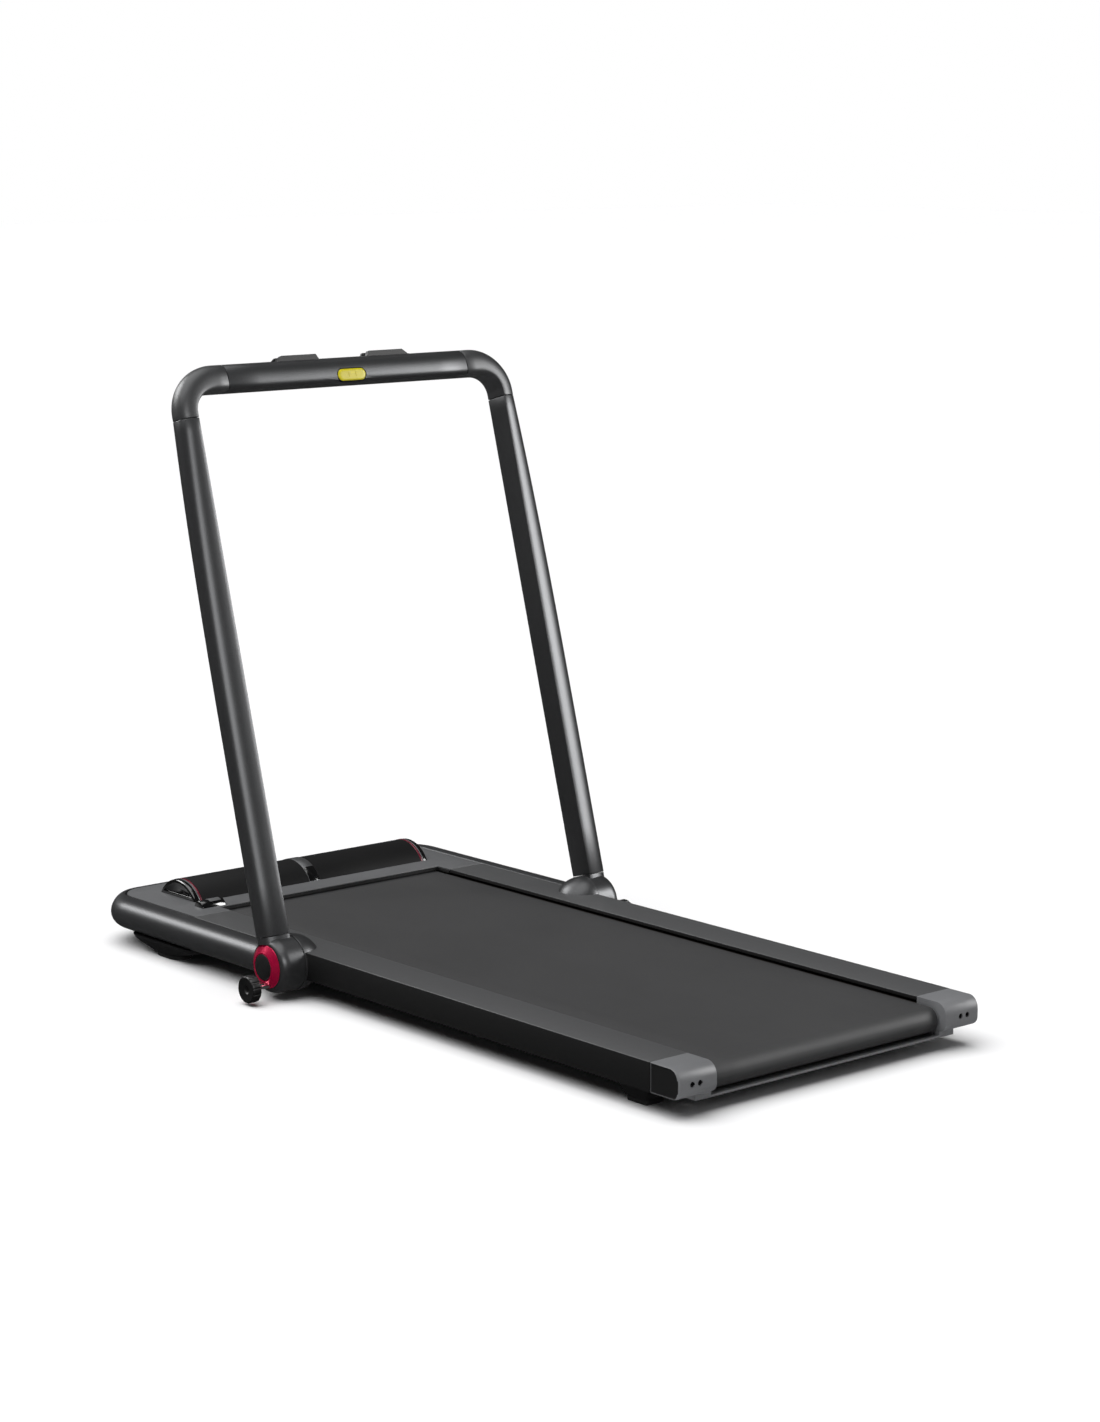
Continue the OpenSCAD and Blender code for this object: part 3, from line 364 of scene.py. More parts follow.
def rail_skin(name, value, roughness):
    """Powder-coated extrusion with faint drawing lines along its length."""
    finish = Finish(name, value, roughness, 0.25, Specular_IOR_Level=0.35)
    lines = finish.noise(30.0, 3.0, finish.stretched((40.0, 0.8, 40.0)))
    grain = finish.noise(1100.0, 2.0)
    finish.shade(lines * 0.5 + grain * 0.5, 0.16)
    finish.put("Roughness", roughness - 0.04 + grain * 0.08 + lines * 0.03)
    finish.relief(grain, 0.00005)
    return finish


def board_grain_and_shade(name):
    """Waxed fibreboard with fibre grain, coloured very dark brown so its edge in the gap beside the belt
    reads as painted shade.
    """
    finish = Finish(name, (0.030, 0.022, 0.016), 0.5)
    fibre = finish.noise(60.0, 6.0, finish.stretched((1.0, 0.25, 4.0)))
    finish.shade(fibre, 0.35)
    finish.put("Roughness", 0.38 + fibre * 0.2)
    finish.relief(fibre, 0.00005)
    return finish


def circuit(name):
    """Green laminate with a faint grid of tracks."""
    finish = Finish(name, (0.02, 0.13, 0.055), 0.35)
    x, y, z = finish.axes()
    tracks = ((x * 1400.0).sine() * (y * 1400.0).sine()).above(0.3)
    grain = finish.noise(300.0, 2.0)
    finish.shade(tracks * 0.7 + grain * 0.3, 0.5)
    finish.put("Roughness", 0.3 + grain * 0.15)
    finish.relief(tracks, 0.00003)
    return finish


made_finishes = {}


def finish_of(name):
    """Each finish is made once, on first use."""
    if name in made_finishes:
        return made_finishes[name]
    tint = bpy.context.scene.treadmill_colours
    makers = {
        "gunmetal": lambda: satin_paint("satin_gunmetal", tint.gunmetal),
        "elbow": lambda: satin_paint("satin_gunmetal_plastic", tint.gunmetal, 0.40, 0.3),
        "cap": lambda: moulded("satin_cap", [c * 3.2 for c in tint.gunmetal], 0.45, 0.00002, 0.25),
        "disc": lambda: satin_paint("satin_disc", [c * 0.2 for c in tint.gunmetal], 0.40, 0.1),
        "hood": lambda: moulded("hood_plastic", tint.hood, 0.42),
        "cover": lambda: moulded("cover_matt_black", [c * 0.6 for c in tint.black], 0.6, 0.00006, 0.12),
        "black": lambda: moulded("black_plastic", tint.black, 0.5),
        # Black darkened further and made dull, put under the hood groove and in the key socket: painted shade
        # in these recesses.
        "dark": lambda: moulded("black_painted_shade", [c * 0.25 for c in tint.black], 0.8),
        "gloss": lambda: glossy("gloss_black", [c * 0.5 for c in tint.black]),
        "key_grey": lambda: moulded("start_key_grey", (0.10, 0.102, 0.105), 0.5, 0.00003, 0.3),
        "knob": lambda: moulded("knob_black", [c * 0.6 for c in tint.black], 0.42, 0.00002, 0.4),
        "silver": lambda: brushed("silver_plastic", (0.12, 0.122, 0.126), 0.40, (1.0, 30.0, 30.0), 0.8),
        "burgundy": lambda: glossy("burgundy_line", tint.burgundy, 0.25),
        "crimson": lambda: anodised_ring("crimson_anodised", tint.crimson),
        "yellow": lambda: moulded("yellow_plastic", tint.yellow, 0.36, 0.00003),
        "rubber": lambda: rubber("black_rubber", tint.black),
        "belt": lambda: belt_skin("belt_face", tint.belt),
        "rail_top": lambda: rail_skin("rail_top", tint.rail, 0.46),
        # Darker copy of the rail colour for faces that point sideways: partly a darker side finish, partly
        # painted shade.
        "rail_side_dark_and_shade": lambda: rail_skin("rail_side_dark_and_shade", [c * 0.12 for c in tint.rail], 0.5),
        "frame": lambda: rail_skin("frame_powder_coat", tint.black, 0.5),
        "steel": lambda: brushed("turned_steel", (0.50, 0.51, 0.52), 0.3),
        "chrome": lambda: brushed("bright_pin", (0.78, 0.78, 0.80), 0.12),
        "bolt": lambda: brushed("black_bolt", (0.035, 0.035, 0.037), 0.32),
        "fins": lambda: brushed("heat_sink_alloy", (0.55, 0.55, 0.57), 0.42, (60.0, 1.0, 60.0)),
        "motor": lambda: satin_paint("motor_enamel", (0.05, 0.055, 0.06), 0.4, 0.2),
        "wood": lambda: board_grain_and_shade("board_darkened_as_shade"),
        "circuit": lambda: circuit("green_laminate"),
        "switch": lambda: glossy("switch_red", (0.30, 0.01, 0.02), 0.2),
    }
    made_finishes[name] = makers[name]().material
    return made_finishes[name]


# ---------- modelling helpers ----------


def select_none():
    if bpy.context.mode != "OBJECT":
        bpy.ops.object.mode_set(mode="OBJECT")
    bpy.ops.object.select_all(action="DESELECT")


def start_edit(thing):
    select_none()
    thing.select_set(True)
    bpy.context.view_layer.objects.active = thing
    bpy.ops.object.mode_set(mode="EDIT")
    return bmesh.from_edit_mesh(thing.data)


def end_edit(thing):
    bmesh.update_edit_mesh(thing.data)
    bpy.ops.object.mode_set(mode="OBJECT")


def tidy_skin(thing, merge=0.00001):
    """Merges doubles and turns every face outwards."""
    start_edit(thing)
    bpy.ops.mesh.select_all(action="SELECT")
    bpy.ops.mesh.remove_doubles(threshold=merge)
    bpy.ops.mesh.normals_make_consistent(inside=False)
    end_edit(thing)


def extruded_through(name, rings):
    """A closed skin: an outline filled at the first ring and extruded to each ring that follows."""
    select_none()
    count = len(rings[0])
    bpy.ops.mesh.primitive_circle_add(vertices=count, fill_type="NGON")
    thing = bpy.context.object
    thing.name = name
    mesh = start_edit(thing)
    mesh.verts.ensure_lookup_table()
    for vert, point in zip(mesh.verts, rings[0]):
        vert.co = point
    bpy.ops.mesh.select_all(action="SELECT")
    bmesh.update_edit_mesh(thing.data)
    current = list(range(count))
    for ring in rings[1:]:
        bpy.ops.mesh.extrude_region_move()
        mesh = bmesh.from_edit_mesh(thing.data)
        mesh.verts.ensure_lookup_table()
        following = []
        for index in current:
            new = [edge.other_vert(mesh.verts[index]) for edge in mesh.verts[index].link_edges]
            following.append(next(vert for vert in new if vert.select))
        for vert, point in zip(following, ring):
            vert.co = point
        mesh.verts.index_update()
        current = [vert.index for vert in following]
        bmesh.update_edit_mesh(thing.data)
    end_edit(thing)
    tidy_skin(thing)
    return thing


def spun(name, outline, y, z, steps=72):
    """A turned piece round an axis along X, its outline drawn point by point as (x, radius)."""
    select_none()
    first_x, first_r = outline[0]
    bpy.ops.mesh.primitive_plane_add(size=0.001, location=(0, 0, 0))
    thing = bpy.context.object
    thing.name = name
    start_edit(thing)
    bpy.ops.mesh.select_all(action="SELECT")
    bpy.ops.mesh.merge(type="CENTER")
    bpy.ops.transform.translate(value=(first_x, y, z + first_r))
    for (xa, ra), (xb, rb) in zip(outline, outline[1:]):
        bpy.ops.mesh.extrude_vertices_move(TRANSFORM_OT_translate={"value": (xb - xa, 0, rb - ra)})
    bpy.ops.mesh.select_all(action="SELECT")
    bpy.ops.mesh.spin(steps=steps, angle=2 * math.pi, center=(0, y, z), axis=(1, 0, 0))
    end_edit(thing)
    tidy_skin(thing)
    return thing


def boxed(name, lo, hi):
    """A block between two corners."""
    select_none()
    lo, hi = Vector(lo), Vector(hi)
    bpy.ops.mesh.primitive_cube_add(size=1)
    thing = bpy.context.object
    thing.name = name
    start_edit(thing)
    bpy.ops.mesh.select_all(action="SELECT")
    bpy.ops.transform.resize(value=hi - lo, center_override=(0, 0, 0))
    bpy.ops.transform.translate(value=(lo + hi) / 2)
    end_edit(thing)
    return thing


def apply_modifier(thing, kind, **settings):
    select_none()
    thing.select_set(True)
    bpy.context.view_layer.objects.active = thing
    modifier = thing.modifiers.new(kind.lower(), kind)
    for name, value in settings.items():
        setattr(modifier, name, value)
    bpy.ops.object.modifier_apply(modifier=modifier.name)


def rounded(thing, width, segments=3, angle=35):
    """Rounds the sharp edges."""
    apply_modifier(thing, "BEVEL", width=width, segments=segments, limit_method="ANGLE",
                   angle_limit=math.radians(angle), harden_normals=False)


def cut(thing, tool):
    """Takes the tool's space out of a piece."""
    apply_modifier(thing, "BOOLEAN", operation="DIFFERENCE", solver="EXACT", object=tool)
    bpy.data.objects.remove(tool)
    return thing


def joined(first, *others):
    select_none()
    for thing in (*others, first):
        thing.select_set(True)
    bpy.context.view_layer.objects.active = first
    bpy.ops.object.join()
    return first


def twin(thing, name):
    """The same piece for the other side, mirrored across the middle plane."""
    select_none()
    thing.select_set(True)
    bpy.context.view_layer.objects.active = thing
    bpy.ops.object.duplicate()
    copy = bpy.context.object
    copy.name = name
    start_edit(copy)
    bpy.ops.mesh.select_all(action="SELECT")
    bpy.ops.transform.resize(value=(-1, 1, 1), center_override=(0, 0, 0))
    bpy.ops.mesh.flip_normals()
    end_edit(copy)
    return copy


def finished(thing, finish, body, nodes=(), smooth=40):
    """Smooth shading, finish and place in the machine."""
    select_none()
    thing.select_set(True)
    bpy.context.view_layer.objects.active = thing
    bpy.ops.object.shade_smooth_by_angle(angle=math.radians(smooth))
    if finish:
        thing.data.materials.clear()
        thing.data.materials.append(finish_of(finish))
    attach(thing, body)
    if nodes:
        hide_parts(*nodes)
    return thing


def fillet(points, radii, steps=5, closed=True):
    """A flat outline with its corners rounded by arcs."""
    made = []
    count = len(points)
    for index, (point, radius) in enumerate(zip(points, radii)):
        here = Vector(point)
        if radius <= 0 or (not closed and index in (0, count - 1)):
            made.append(here)
            continue
        back = (Vector(points[index - 1]) - here).normalized()
        ahead = (Vector(points[(index + 1) % count]) - here).normalized()
        half = back.angle(ahead) / 2
        centre = here + (back + ahead).normalized() * (radius / math.sin(half))
        start = here + back * (radius / math.tan(half)) - centre
        end = here + ahead * (radius / math.tan(half)) - centre
        sweep = start.angle(end)
        for k in range(steps + 1):
            part = k / steps
            made.append(centre + (start * math.sin((1 - part) * sweep) + end * math.sin(part * sweep))
                        / math.sin(sweep))
    return made


def arc(centre, radius, start, end, steps):
    """Points of a circle's arc, angles in degrees."""
    return [Vector((centre[0] + radius * math.cos(math.radians(start + (end - start) * k / steps)),
                    centre[1] + radius * math.sin(math.radians(start + (end - start) * k / steps))))
            for k in range(steps + 1)]


def grown(outline, distance):
    """A flat outline moved outwards along its own normals, or inwards for a negative distance."""
    count = len(outline)
    area = sum(outline[i - 1].cross(outline[i]) for i in range(count))
    turn = 1 if area > 0 else -1
    made = []
    for index, point in enumerate(outline):
        before = (point - outline[index - 1])
        after = (outline[(index + 1) % count] - point)
        normal = Vector((before.y, -before.x)).normalized() + Vector((after.y, -after.x)).normalized()
        length = max(normal.length / 2, 0.35)
        made.append(point + normal.normalized() * distance * turn / length)
    return made


def soft_ended(name, outline, start, end, soft, placed):
    """A flat outline given depth, with its two rims softly rounded; placed(point, depth) sets each point."""
    levels = [(0.0, -soft), (0.3, -soft * 0.3), (1.0, 0.0)]
    stations = [(start + soft * rise, inset) for rise, inset in levels]
    stations += [(end - soft * rise, inset) for rise, inset in reversed(levels)]
    return extruded_through(name, [[placed(p, depth) for p in grown(outline, inset)]
                                   for depth, inset in stations])


def slab(name, outline, z0, z1, soft):
    """A plan outline given thickness."""
    return soft_ended(name, outline, z0, z1, soft, lambda p, z: Vector((p.x, p.y, z)))


def across(name, outline, x0, x1, soft):
    """A YZ outline carried along X."""
    return soft_ended(name, outline, x0, x1, soft, lambda p, x: Vector((x, p.x, p.y)))


def lengthwise(name, outline, y0, y1, soft):
    """An XZ outline carried along Y."""
    return soft_ended(name, outline, y0, y1, soft, lambda p, y: Vector((p.x, y, p.y)))


# ---------- deck skins ----------


def sides_by_normal(thing, finish, axis, limit):
    """Gives the faces that look along an axis a second finish, so a piece is coloured by the way its faces
    point: where that finish is darker it is painted shade.
    """
    thing.data.materials.append(finish_of(finish))
    for face in thing.data.polygons:
        if face.normal[axis] * (1 if limit > 0 else -1) > abs(limit):
            face.material_index = 1
    thing.data.update()


RAIL_BOX_W = 0.0385
RAIL_BOX_IN = RAIL_OUT - RAIL_BOX_W
FLANGE = 0.003
LIP = 0.0025
LIP_DROP = 0.006
SHELF_W = 0.026
SHELF_LOW = 0.044
SHELF_TOP = 0.047


class TREADMILL_OT_rails(bpy.types.Operator):
    """Side rails: a hollow box outside, a flange over the belt's edge and a shelf for the board"""
    bl_idname = "treadmill.rails"
    bl_label = "Side rails"

    def execute(self, context):
        soft = context.scene.treadmill_sizes.edge
        seam = context.scene.treadmill_sizes.seam
        outline = fillet(
            [(RAIL_IN, DECK_TOP), (RAIL_IN, DECK_TOP - LIP_DROP), (RAIL_IN + LIP, DECK_TOP - LIP_DROP),
             (RAIL_IN + LIP, DECK_TOP - FLANGE), (RAIL_BOX_IN, DECK_TOP - FLANGE), (RAIL_BOX_IN, RAIL_LOW),
             (RAIL_OUT, RAIL_LOW), (RAIL_OUT, DECK_TOP)],
            [0.0010, 0.0005, 0.0005, 0.0006, 0.001, 0.0012, 0.0012, 0.0012], 3)
        rail = lengthwise("right_rail_skin", outline, SEAM_Y + seam, EAR_Y - seam, soft * 0.5)
        front = boxed("rail_front", (RAIL_BOX_IN, EAR_Y, RAIL_LOW),
                      (RAIL_OUT - 0.0002, GROOVE_Y - CORNER_R, DECK_TOP - FLANGE))
        shelf = boxed("rail_shelf", (RAIL_BOX_IN - SHELF_W, SEAM_Y + seam, SHELF_LOW),
                      (RAIL_BOX_IN, GROOVE_Y - CORNER_R, SHELF_TOP))
        rail = joined(rail, front, shelf)
        other = twin(rail, "left_rail_skin")
        for thing, node in ((rail, "right_side_rail"), (other, "left_side_rail")):
            # Upward faces keep the rail colour and the sides take the darker copy: partly two-tone, partly
            # painted shade on the sides.
            finished(thing, "rail_side_dark_and_shade", "root", [node], 35)
            sides_by_normal(thing, "rail_top", 2, 0.7)
        return {"FINISHED"}


CAP_TOP_R = 0.020
CAP_LOW_R = 0.014
CAP_SIDE_R = 0.004
BOLT_R = 0.0039
BOLT_PITCH = 0.0146
BOLT_HOLE_R = 0.0042
BOLT_HOLE_LONG = 0.02


class TREADMILL_OT_rear_caps(bpy.types.Operator):
    """Rear caps: a band that wraps over the rail's end, with a flat outer plate and two bolt holes"""
    bl_idname = "treadmill.rear_caps"
    bl_label = "Rear caps"

    def execute(self, context):
        seam = context.scene.treadmill_sizes.seam
        front = SEAM_Y - seam
        outline = fillet([(REAR_Y, DECK_TOP), (REAR_Y, RAIL_LOW), (front, RAIL_LOW), (front, DECK_TOP)],
                         [CAP_TOP_R, CAP_LOW_R, 0, 0], 12)

        def ring(x, inset, push=0.0):
            return [Vector((x, p.x + push * max(0.0, 1 - (p.x - REAR_Y) / CAP_TOP_R) ** 2, p.y))
                    for p in grown(outline, inset)]

        start = RAIL_IN + 0.0003
        rings = [ring(start, -0.0010), ring(start + 0.0003, -0.0003), ring(start + 0.001, 0.0)]
        for angle in range(0, 91, 15):
            fall = 1 - math.cos(math.radians(angle))
            rings.append(ring(RAIL_OUT - CAP_SIDE_R * (1 - math.sin(math.radians(angle))),
                              -0.0009 * fall, CAP_SIDE_R * fall))
        rings += [ring(RAIL_OUT - 0.0001, -0.0016, CAP_SIDE_R), ring(RAIL_OUT - 0.0008, -0.0018, CAP_SIDE_R),
                  ring(RAIL_OUT - 0.0008, -0.0026, CAP_SIDE_R)]
        cap = extruded_through("right_cap_skin", rings)
        hole_z = low("rear_end_bolts").z + BOLT_R
        for place in (0, 1):
            select_none()
            x = high("rear_end_bolts").x - BOLT_R - place * BOLT_PITCH
            bpy.ops.mesh.primitive_cylinder_add(vertices=40, radius=BOLT_HOLE_R, depth=BOLT_HOLE_LONG,
                                                location=(x, REAR_Y, hole_z), rotation=(math.pi / 2, 0, 0))
            cut(cap, context.object)
        other = twin(cap, "left_cap_skin")
        for thing, node, sign in ((cap, "right_rear_cap", 1), (other, "left_rear_cap", -1)):
            finished(thing, "cap", "root", [node], 42)
            # The cap's flat outer side takes the dark rail-side finish while the rest of the one-piece cap
            # keeps the lighter cap colour: painted shade on that side.
            sides_by_normal(thing, "rail_side_dark_and_shade", 0, 0.93 * sign)
        return {"FINISHED"}


class TREADMILL_OT_guard_bar(bpy.types.Operator):
    """Thin bar under the belt's rear turn, with an upturned block at each end"""
    bl_idname = "treadmill.guard_bar"
    bl_label = "Rear guard bar"

    def execute(self, context):
        lo, hi = low("rear_guard_bar"), high("rear_guard_bar")
        bar = boxed("rear_guard_skin", lo, (hi.x, hi.y, lo.z + 0.003))
        ends = [boxed("guard_end", (side * RAIL_IN if side > 0 else -hi.x, lo.y, lo.z + 0.0028),
                      (hi.x if side > 0 else -RAIL_IN, hi.y, hi.z)) for side in (-1, 1)]
        for end in ends:
            apply_modifier(bar, "BOOLEAN", operation="UNION", solver="EXACT", object=end)
            bpy.data.objects.remove(end)
        rounded(bar, 0.0011, 3)
        finished(bar, "cap", "root", ["rear_guard_bar"])
        return {"FINISHED"}


BUMPER_FLAT = 0.004
BUMPER_LIP = 0.0018
BUMPER_START = 0.012
SIDE_STEPS = 6
BEND_STEPS = 24


def bumper_pairs():
    """Plan points of the bumper's inner and outer line, from the left end round to the right."""
    lead = BEND_R - (FRONT_Y - GROOVE_Y) - CORNER_R
    turn = lead + CORNER_R * math.pi / 2
    start = HINGE.y + BUMPER_START
    stop = GROOVE_Y - CORNER_R - lead
    stations = [start + (stop - start) * k / SIDE_STEPS for k in range(SIDE_STEPS)]
    pairs = [(Vector((-RAIL_OUT, y)), Vector((-BUMPER_X, y))) for y in stations]
    for k in range(BEND_STEPS + 1):
        way = turn * k / BEND_STEPS
        inner = math.pi - max(way - lead, 0) / CORNER_R
        outer = math.pi - math.pi / 2 * k / BEND_STEPS
        inner_point = Vector((-RAIL_OUT + CORNER_R * (1 + math.cos(inner)),
                              GROOVE_Y - CORNER_R * (1 - math.sin(inner)) - max(lead - way, 0)))
        outer_point = Vector((-BUMPER_X + BEND_R * (1 + math.cos(outer)),
                              FRONT_Y - BEND_R * (1 - math.sin(outer))))
        pairs.append((inner_point, outer_point))
    return pairs + [(Vector((-p.x, p.y)), Vector((-q.x, q.y))) for p, q in reversed(pairs)]


class TREADMILL_OT_bumper(bpy.types.Operator):
    """Front bumper: a thick round bar along both sides, slimmer across the front, hollowed at the hinges"""
    bl_idname = "treadmill.bumper"
    bl_label = "Front bumper"

    def execute(self, context):
        mid_z = DECK_TOP - BUMPER_R
        lip = BUMPER_LIP
        rings = []
        for inner, outer in bumper_pairs():
            width = (outer - inner).length
            out = (outer - inner) / width
            flat = max(width - BUMPER_R, BUMPER_FLAT)
            section = [(0.0002 + lip - lip * math.cos(math.radians(a)),
                        DECK_TOP - lip + lip * math.sin(math.radians(a))) for a in (0, 30, 60, 90)]
            section += [(flat + (width - flat) * math.sin(math.radians(a)),
                         mid_z + BUMPER_R * math.cos(math.radians(a))) for a in range(0, 181, 6)]
            section += [(lip, mid_z - BUMPER_R), (0.0002, mid_z - BUMPER_R + lip)]
            rings.append([Vector((*(inner + out * n), z)) for n, z in section])
        bumper = extruded_through("bumper_skin", rings)
        select_none()
        bpy.ops.mesh.primitive_cylinder_add(vertices=160, radius=BARREL_R + 0.002, depth=0.8,
                                            location=HINGE, rotation=(0, math.pi / 2, 0))
        cut(bumper, context.object)
        lo, hi = low("power_inlet"), high("power_inlet")
        cut(bumper, boxed("inlet_window", (lo.x - 0.0004, lo.y, lo.z - 0.0004),
                          (hi.x + 0.0004, FRONT_Y + 0.01, hi.z + 0.0004)))
        finished(bumper, "gunmetal", "root", ["front_bumper"], 38)
        return {"FINISHED"}


HOOD_PROUD = 0.0004
GROOVE_LOW = 0.0075
GROOVE_HIGH = 0.0031


def hood_outline(inset, rear):
    """Plan of the hood plate, its two ears reaching back beside the belt."""
    w = RAIL_OUT - inset
    r = CORNER_R - inset
    top = GROOVE_Y - inset - r
    mouth = RAIL_IN - 0.0004
    corners = arc((w - r, top), r, 0, 90, 14) + arc((-w + r, top), r, 90, 180, 14)
    return corners + [Vector((-w, rear)), Vector((-mouth, rear)), Vector((-mouth, OPENING_Y)),
                      Vector((mouth, OPENING_Y)), Vector((mouth, rear)), Vector((w, rear))]


class TREADMILL_OT_hood_plate(bpy.types.Operator):
    """Hood plate, with a very dark sheet under the groove round its rim as painted shade"""
    bl_idname = "treadmill.hood_plate"
    bl_label = "Hood plate"

    def execute(self, context):
        sizes = context.scene.treadmill_sizes
        plate = slab("hood_skin", hood_outline(sizes.groove, EAR_Y + sizes.seam),
                     DECK_TOP - FLANGE, DECK_TOP + HOOD_PROUD, 0.0010)
        finished(plate, "hood", "root", ["hood_plate"], 40)
        shade_sheet = slab("groove_shade_sheet", hood_outline(0.0002, EAR_Y + 0.002),
                   DECK_TOP - GROOVE_LOW, DECK_TOP - GROOVE_HIGH, 0.0004)
        finished(shade_sheet, "dark", "root", (), 40)
        return {"FINISHED"}


def cover_outline(radius):
    """Upper part of a circle, closed by a flat line at the deck's top."""
    centre_z = COVER_TOP - COVER_R
    start = math.degrees(math.asin((DECK_TOP - centre_z) / radius))
    return arc((COVER_Y, centre_z), radius, start, 180 - start, 40)


END_W = 0.009
SILVER_W = 0.0025
RED_W = 0.004
STRAP_HALF = 0.011
PANE_FROM = 122
PANE_TO = 149


class TREADMILL_OT_motor_cover(bpy.types.Operator):
    """Half-round motor cover with glossy ends, thin coloured lines and the centre strap"""
    bl_idname = "treadmill.motor_cover"
    bl_label = "Motor cover"

    def execute(self, context):
        body = COVER_END - END_W - SILVER_W - RED_W
        seam = context.scene.treadmill_sizes.seam
        skin = across("cover_skin", cover_outline(COVER_R), -body + seam, body - seam, 0.0005)
        finished(skin, "cover", "root", ["hood_roll"])
        end_x = COVER_END
        cap = cover_outline(COVER_R - 0.0002)
        levels = [(end_x - END_W + 0.0002, 0.0), (end_x - 0.0034, 0.0), (end_x - 0.0024, -0.0003),
                  (end_x - 0.0012, -0.0012), (end_x - 0.0004, -0.0028), (end_x - 0.0003, -0.0050),
                  (end_x - 0.0020, -0.0056), (end_x - 0.0024, -0.0062)]
        rings = [[Vector((x, p.x, max(p.y, DECK_TOP - 0.0005))) for p in grown(cap, inset)]
                 for x, inset in levels]
        right_end = extruded_through("right_cover_end", rings)
        left_end = twin(right_end, "left_cover_end")
        finished(joined(right_end, left_end), "gloss", "root", ["roll_end_caps"], 50)
        right_end.name = "cover_ends"
        for name, x0, width, proud, finish, slot, node in (
                ("silver_lines", end_x - END_W - SILVER_W, SILVER_W, 0.0004, "silver", "silver",
                 "roll_silver_rings"),
                ("red_lines", body, RED_W, 0.0002, "burgundy", "burgundy", "roll_red_rings")):
            line = across(name, cover_outline(COVER_R + proud), x0 + 0.0001, x0 + width - 0.0001, 0.0004)
            finished(joined(line, twin(line, name + "_left")), finish, "root", [node])
        strap = across("cover_strap", cover_outline(COVER_R + 0.0008), -STRAP_HALF, STRAP_HALF, 0.0007)
        finished(strap, "silver", "root", ["roll_strap"])
        centre_z = COVER_TOP - COVER_R
        window = arc((COVER_Y, centre_z), COVER_R + 0.0013, PANE_FROM, PANE_TO, 12)
        window += reversed(arc((COVER_Y, centre_z), COVER_R - 0.002, PANE_FROM, PANE_TO, 12))
        pane = across("strap_pane", window, -STRAP_HALF + 0.0006, STRAP_HALF - 0.0006, 0.0006)
        finished(pane, "gloss", "root", ["strap_window"])
        return {"FINISHED"}


class TREADMILL_OT_start_switch(bpy.types.Operator):
    """Start switch: a small half-round block with a grey key"""
    bl_idname = "treadmill.start_switch"
    bl_label = "Start switch"

    def execute(self, context):
        lo, hi = low("start_switch_housing"), high("start_switch_housing")
        key_lo, key_hi = low("start_button"), high("start_button")
        y = (lo.y + hi.y) / 2
        z = DECK_TOP - 0.002
        radius = hi.z - z
        start = math.degrees(math.asin(0.0018 / radius))
        half_round = arc((y, z), radius, start, 180 - start, 24)
        housing = across("switch_housing", half_round, lo.x, hi.x, 0.0012)
        cut(housing, boxed("key_well", (key_lo.x - 0.0004, y - 0.009, DECK_TOP + 0.0025),
                           (key_hi.x + 0.0004, y + 0.009, hi.z + 0.01)))
        finished(housing, "gloss", "root", ["start_switch_housing"], 45)
        proud = radius + 0.0008
        base = math.degrees(math.asin((key_lo.z - z) / proud))
        key_outline = [p for p in arc((y, z), proud, base, 180 - base, 24) if abs(p.x - y) <= 0.0086]
        key = across("start_key", key_outline, key_lo.x, key_hi.x, 0.0008)
        finished(key, "key_grey", "start_button", ["start_button"], 45)
        return {"FINISHED"}


class TREADMILL_OT_belt(bpy.types.Operator):
    """Walking belt: one endless loop round the two rollers"""
    bl_idname = "treadmill.belt"
    bl_label = "Walking belt"

    def execute(self, context):
        lo, hi = low("walking_belt"), high("walking_belt")
        radius = (hi.z - lo.z) / 2
        z = (hi.z + lo.z) / 2
        mid = radius - BELT_T / 2
        loop = arc((hi.y - radius, z), mid, 90, -90, 20) + arc((lo.y + radius, z), mid, -90, -270, 20)
        stations = [-BELT_HALF + 2 * BELT_HALF * k / 8 for k in range(9)]
        rings = [[Vector((x, p.x, p.y)) for p in loop] for x in stations]
        belt = extruded_through("belt_skin", rings)
        start_edit(belt)
        mesh = bmesh.from_edit_mesh(belt.data)
        bpy.ops.mesh.select_all(action="DESELECT")
        for face in mesh.faces:
            face.select = len(face.verts) > 4
        bmesh.update_edit_mesh(belt.data)
        bpy.ops.mesh.delete(type="ONLY_FACE")
        end_edit(belt)
        apply_modifier(belt, "SOLIDIFY", thickness=BELT_T, offset=0.0)
        rounded(belt, 0.0004, 2, 60)
        finished(belt, "belt", "root", ["walking_belt"], 30)
        return {"FINISHED"}


def oval(half_x, half_y, count=48):
    """Plan of a long foot: two half circles joined by straight sides."""
    points = []
    for k in range(count):
        angle = 2 * math.pi * (k + 0.5) / count
        shift = (half_y - half_x) * (1 if math.sin(angle) > 0 else -1)
        points.append(Vector((half_x * math.cos(angle), shift + half_x * math.sin(angle))))
    return points


POD_X = RAIL_OUT + 0.0005
POD_LOW_HALF = (0.0225, 0.038)
FRONT_PAD_HALF = (0.020, 0.034)
REAR_PAD_HALF = (0.018, 0.021)
BLOCK_HALF = (0.026, 0.033)
PAD_SOFT = 0.0012


def block_outline(x, y, half_x, half_y, corner):
    """Plan of a rectangular foot round its middle."""
    return [Vector((x + p.x, y + p.y)) for p in fillet(
        [(-half_x, -half_y), (half_x, -half_y), (half_x, half_y), (-half_x, half_y)], [corner] * 4, 4)]


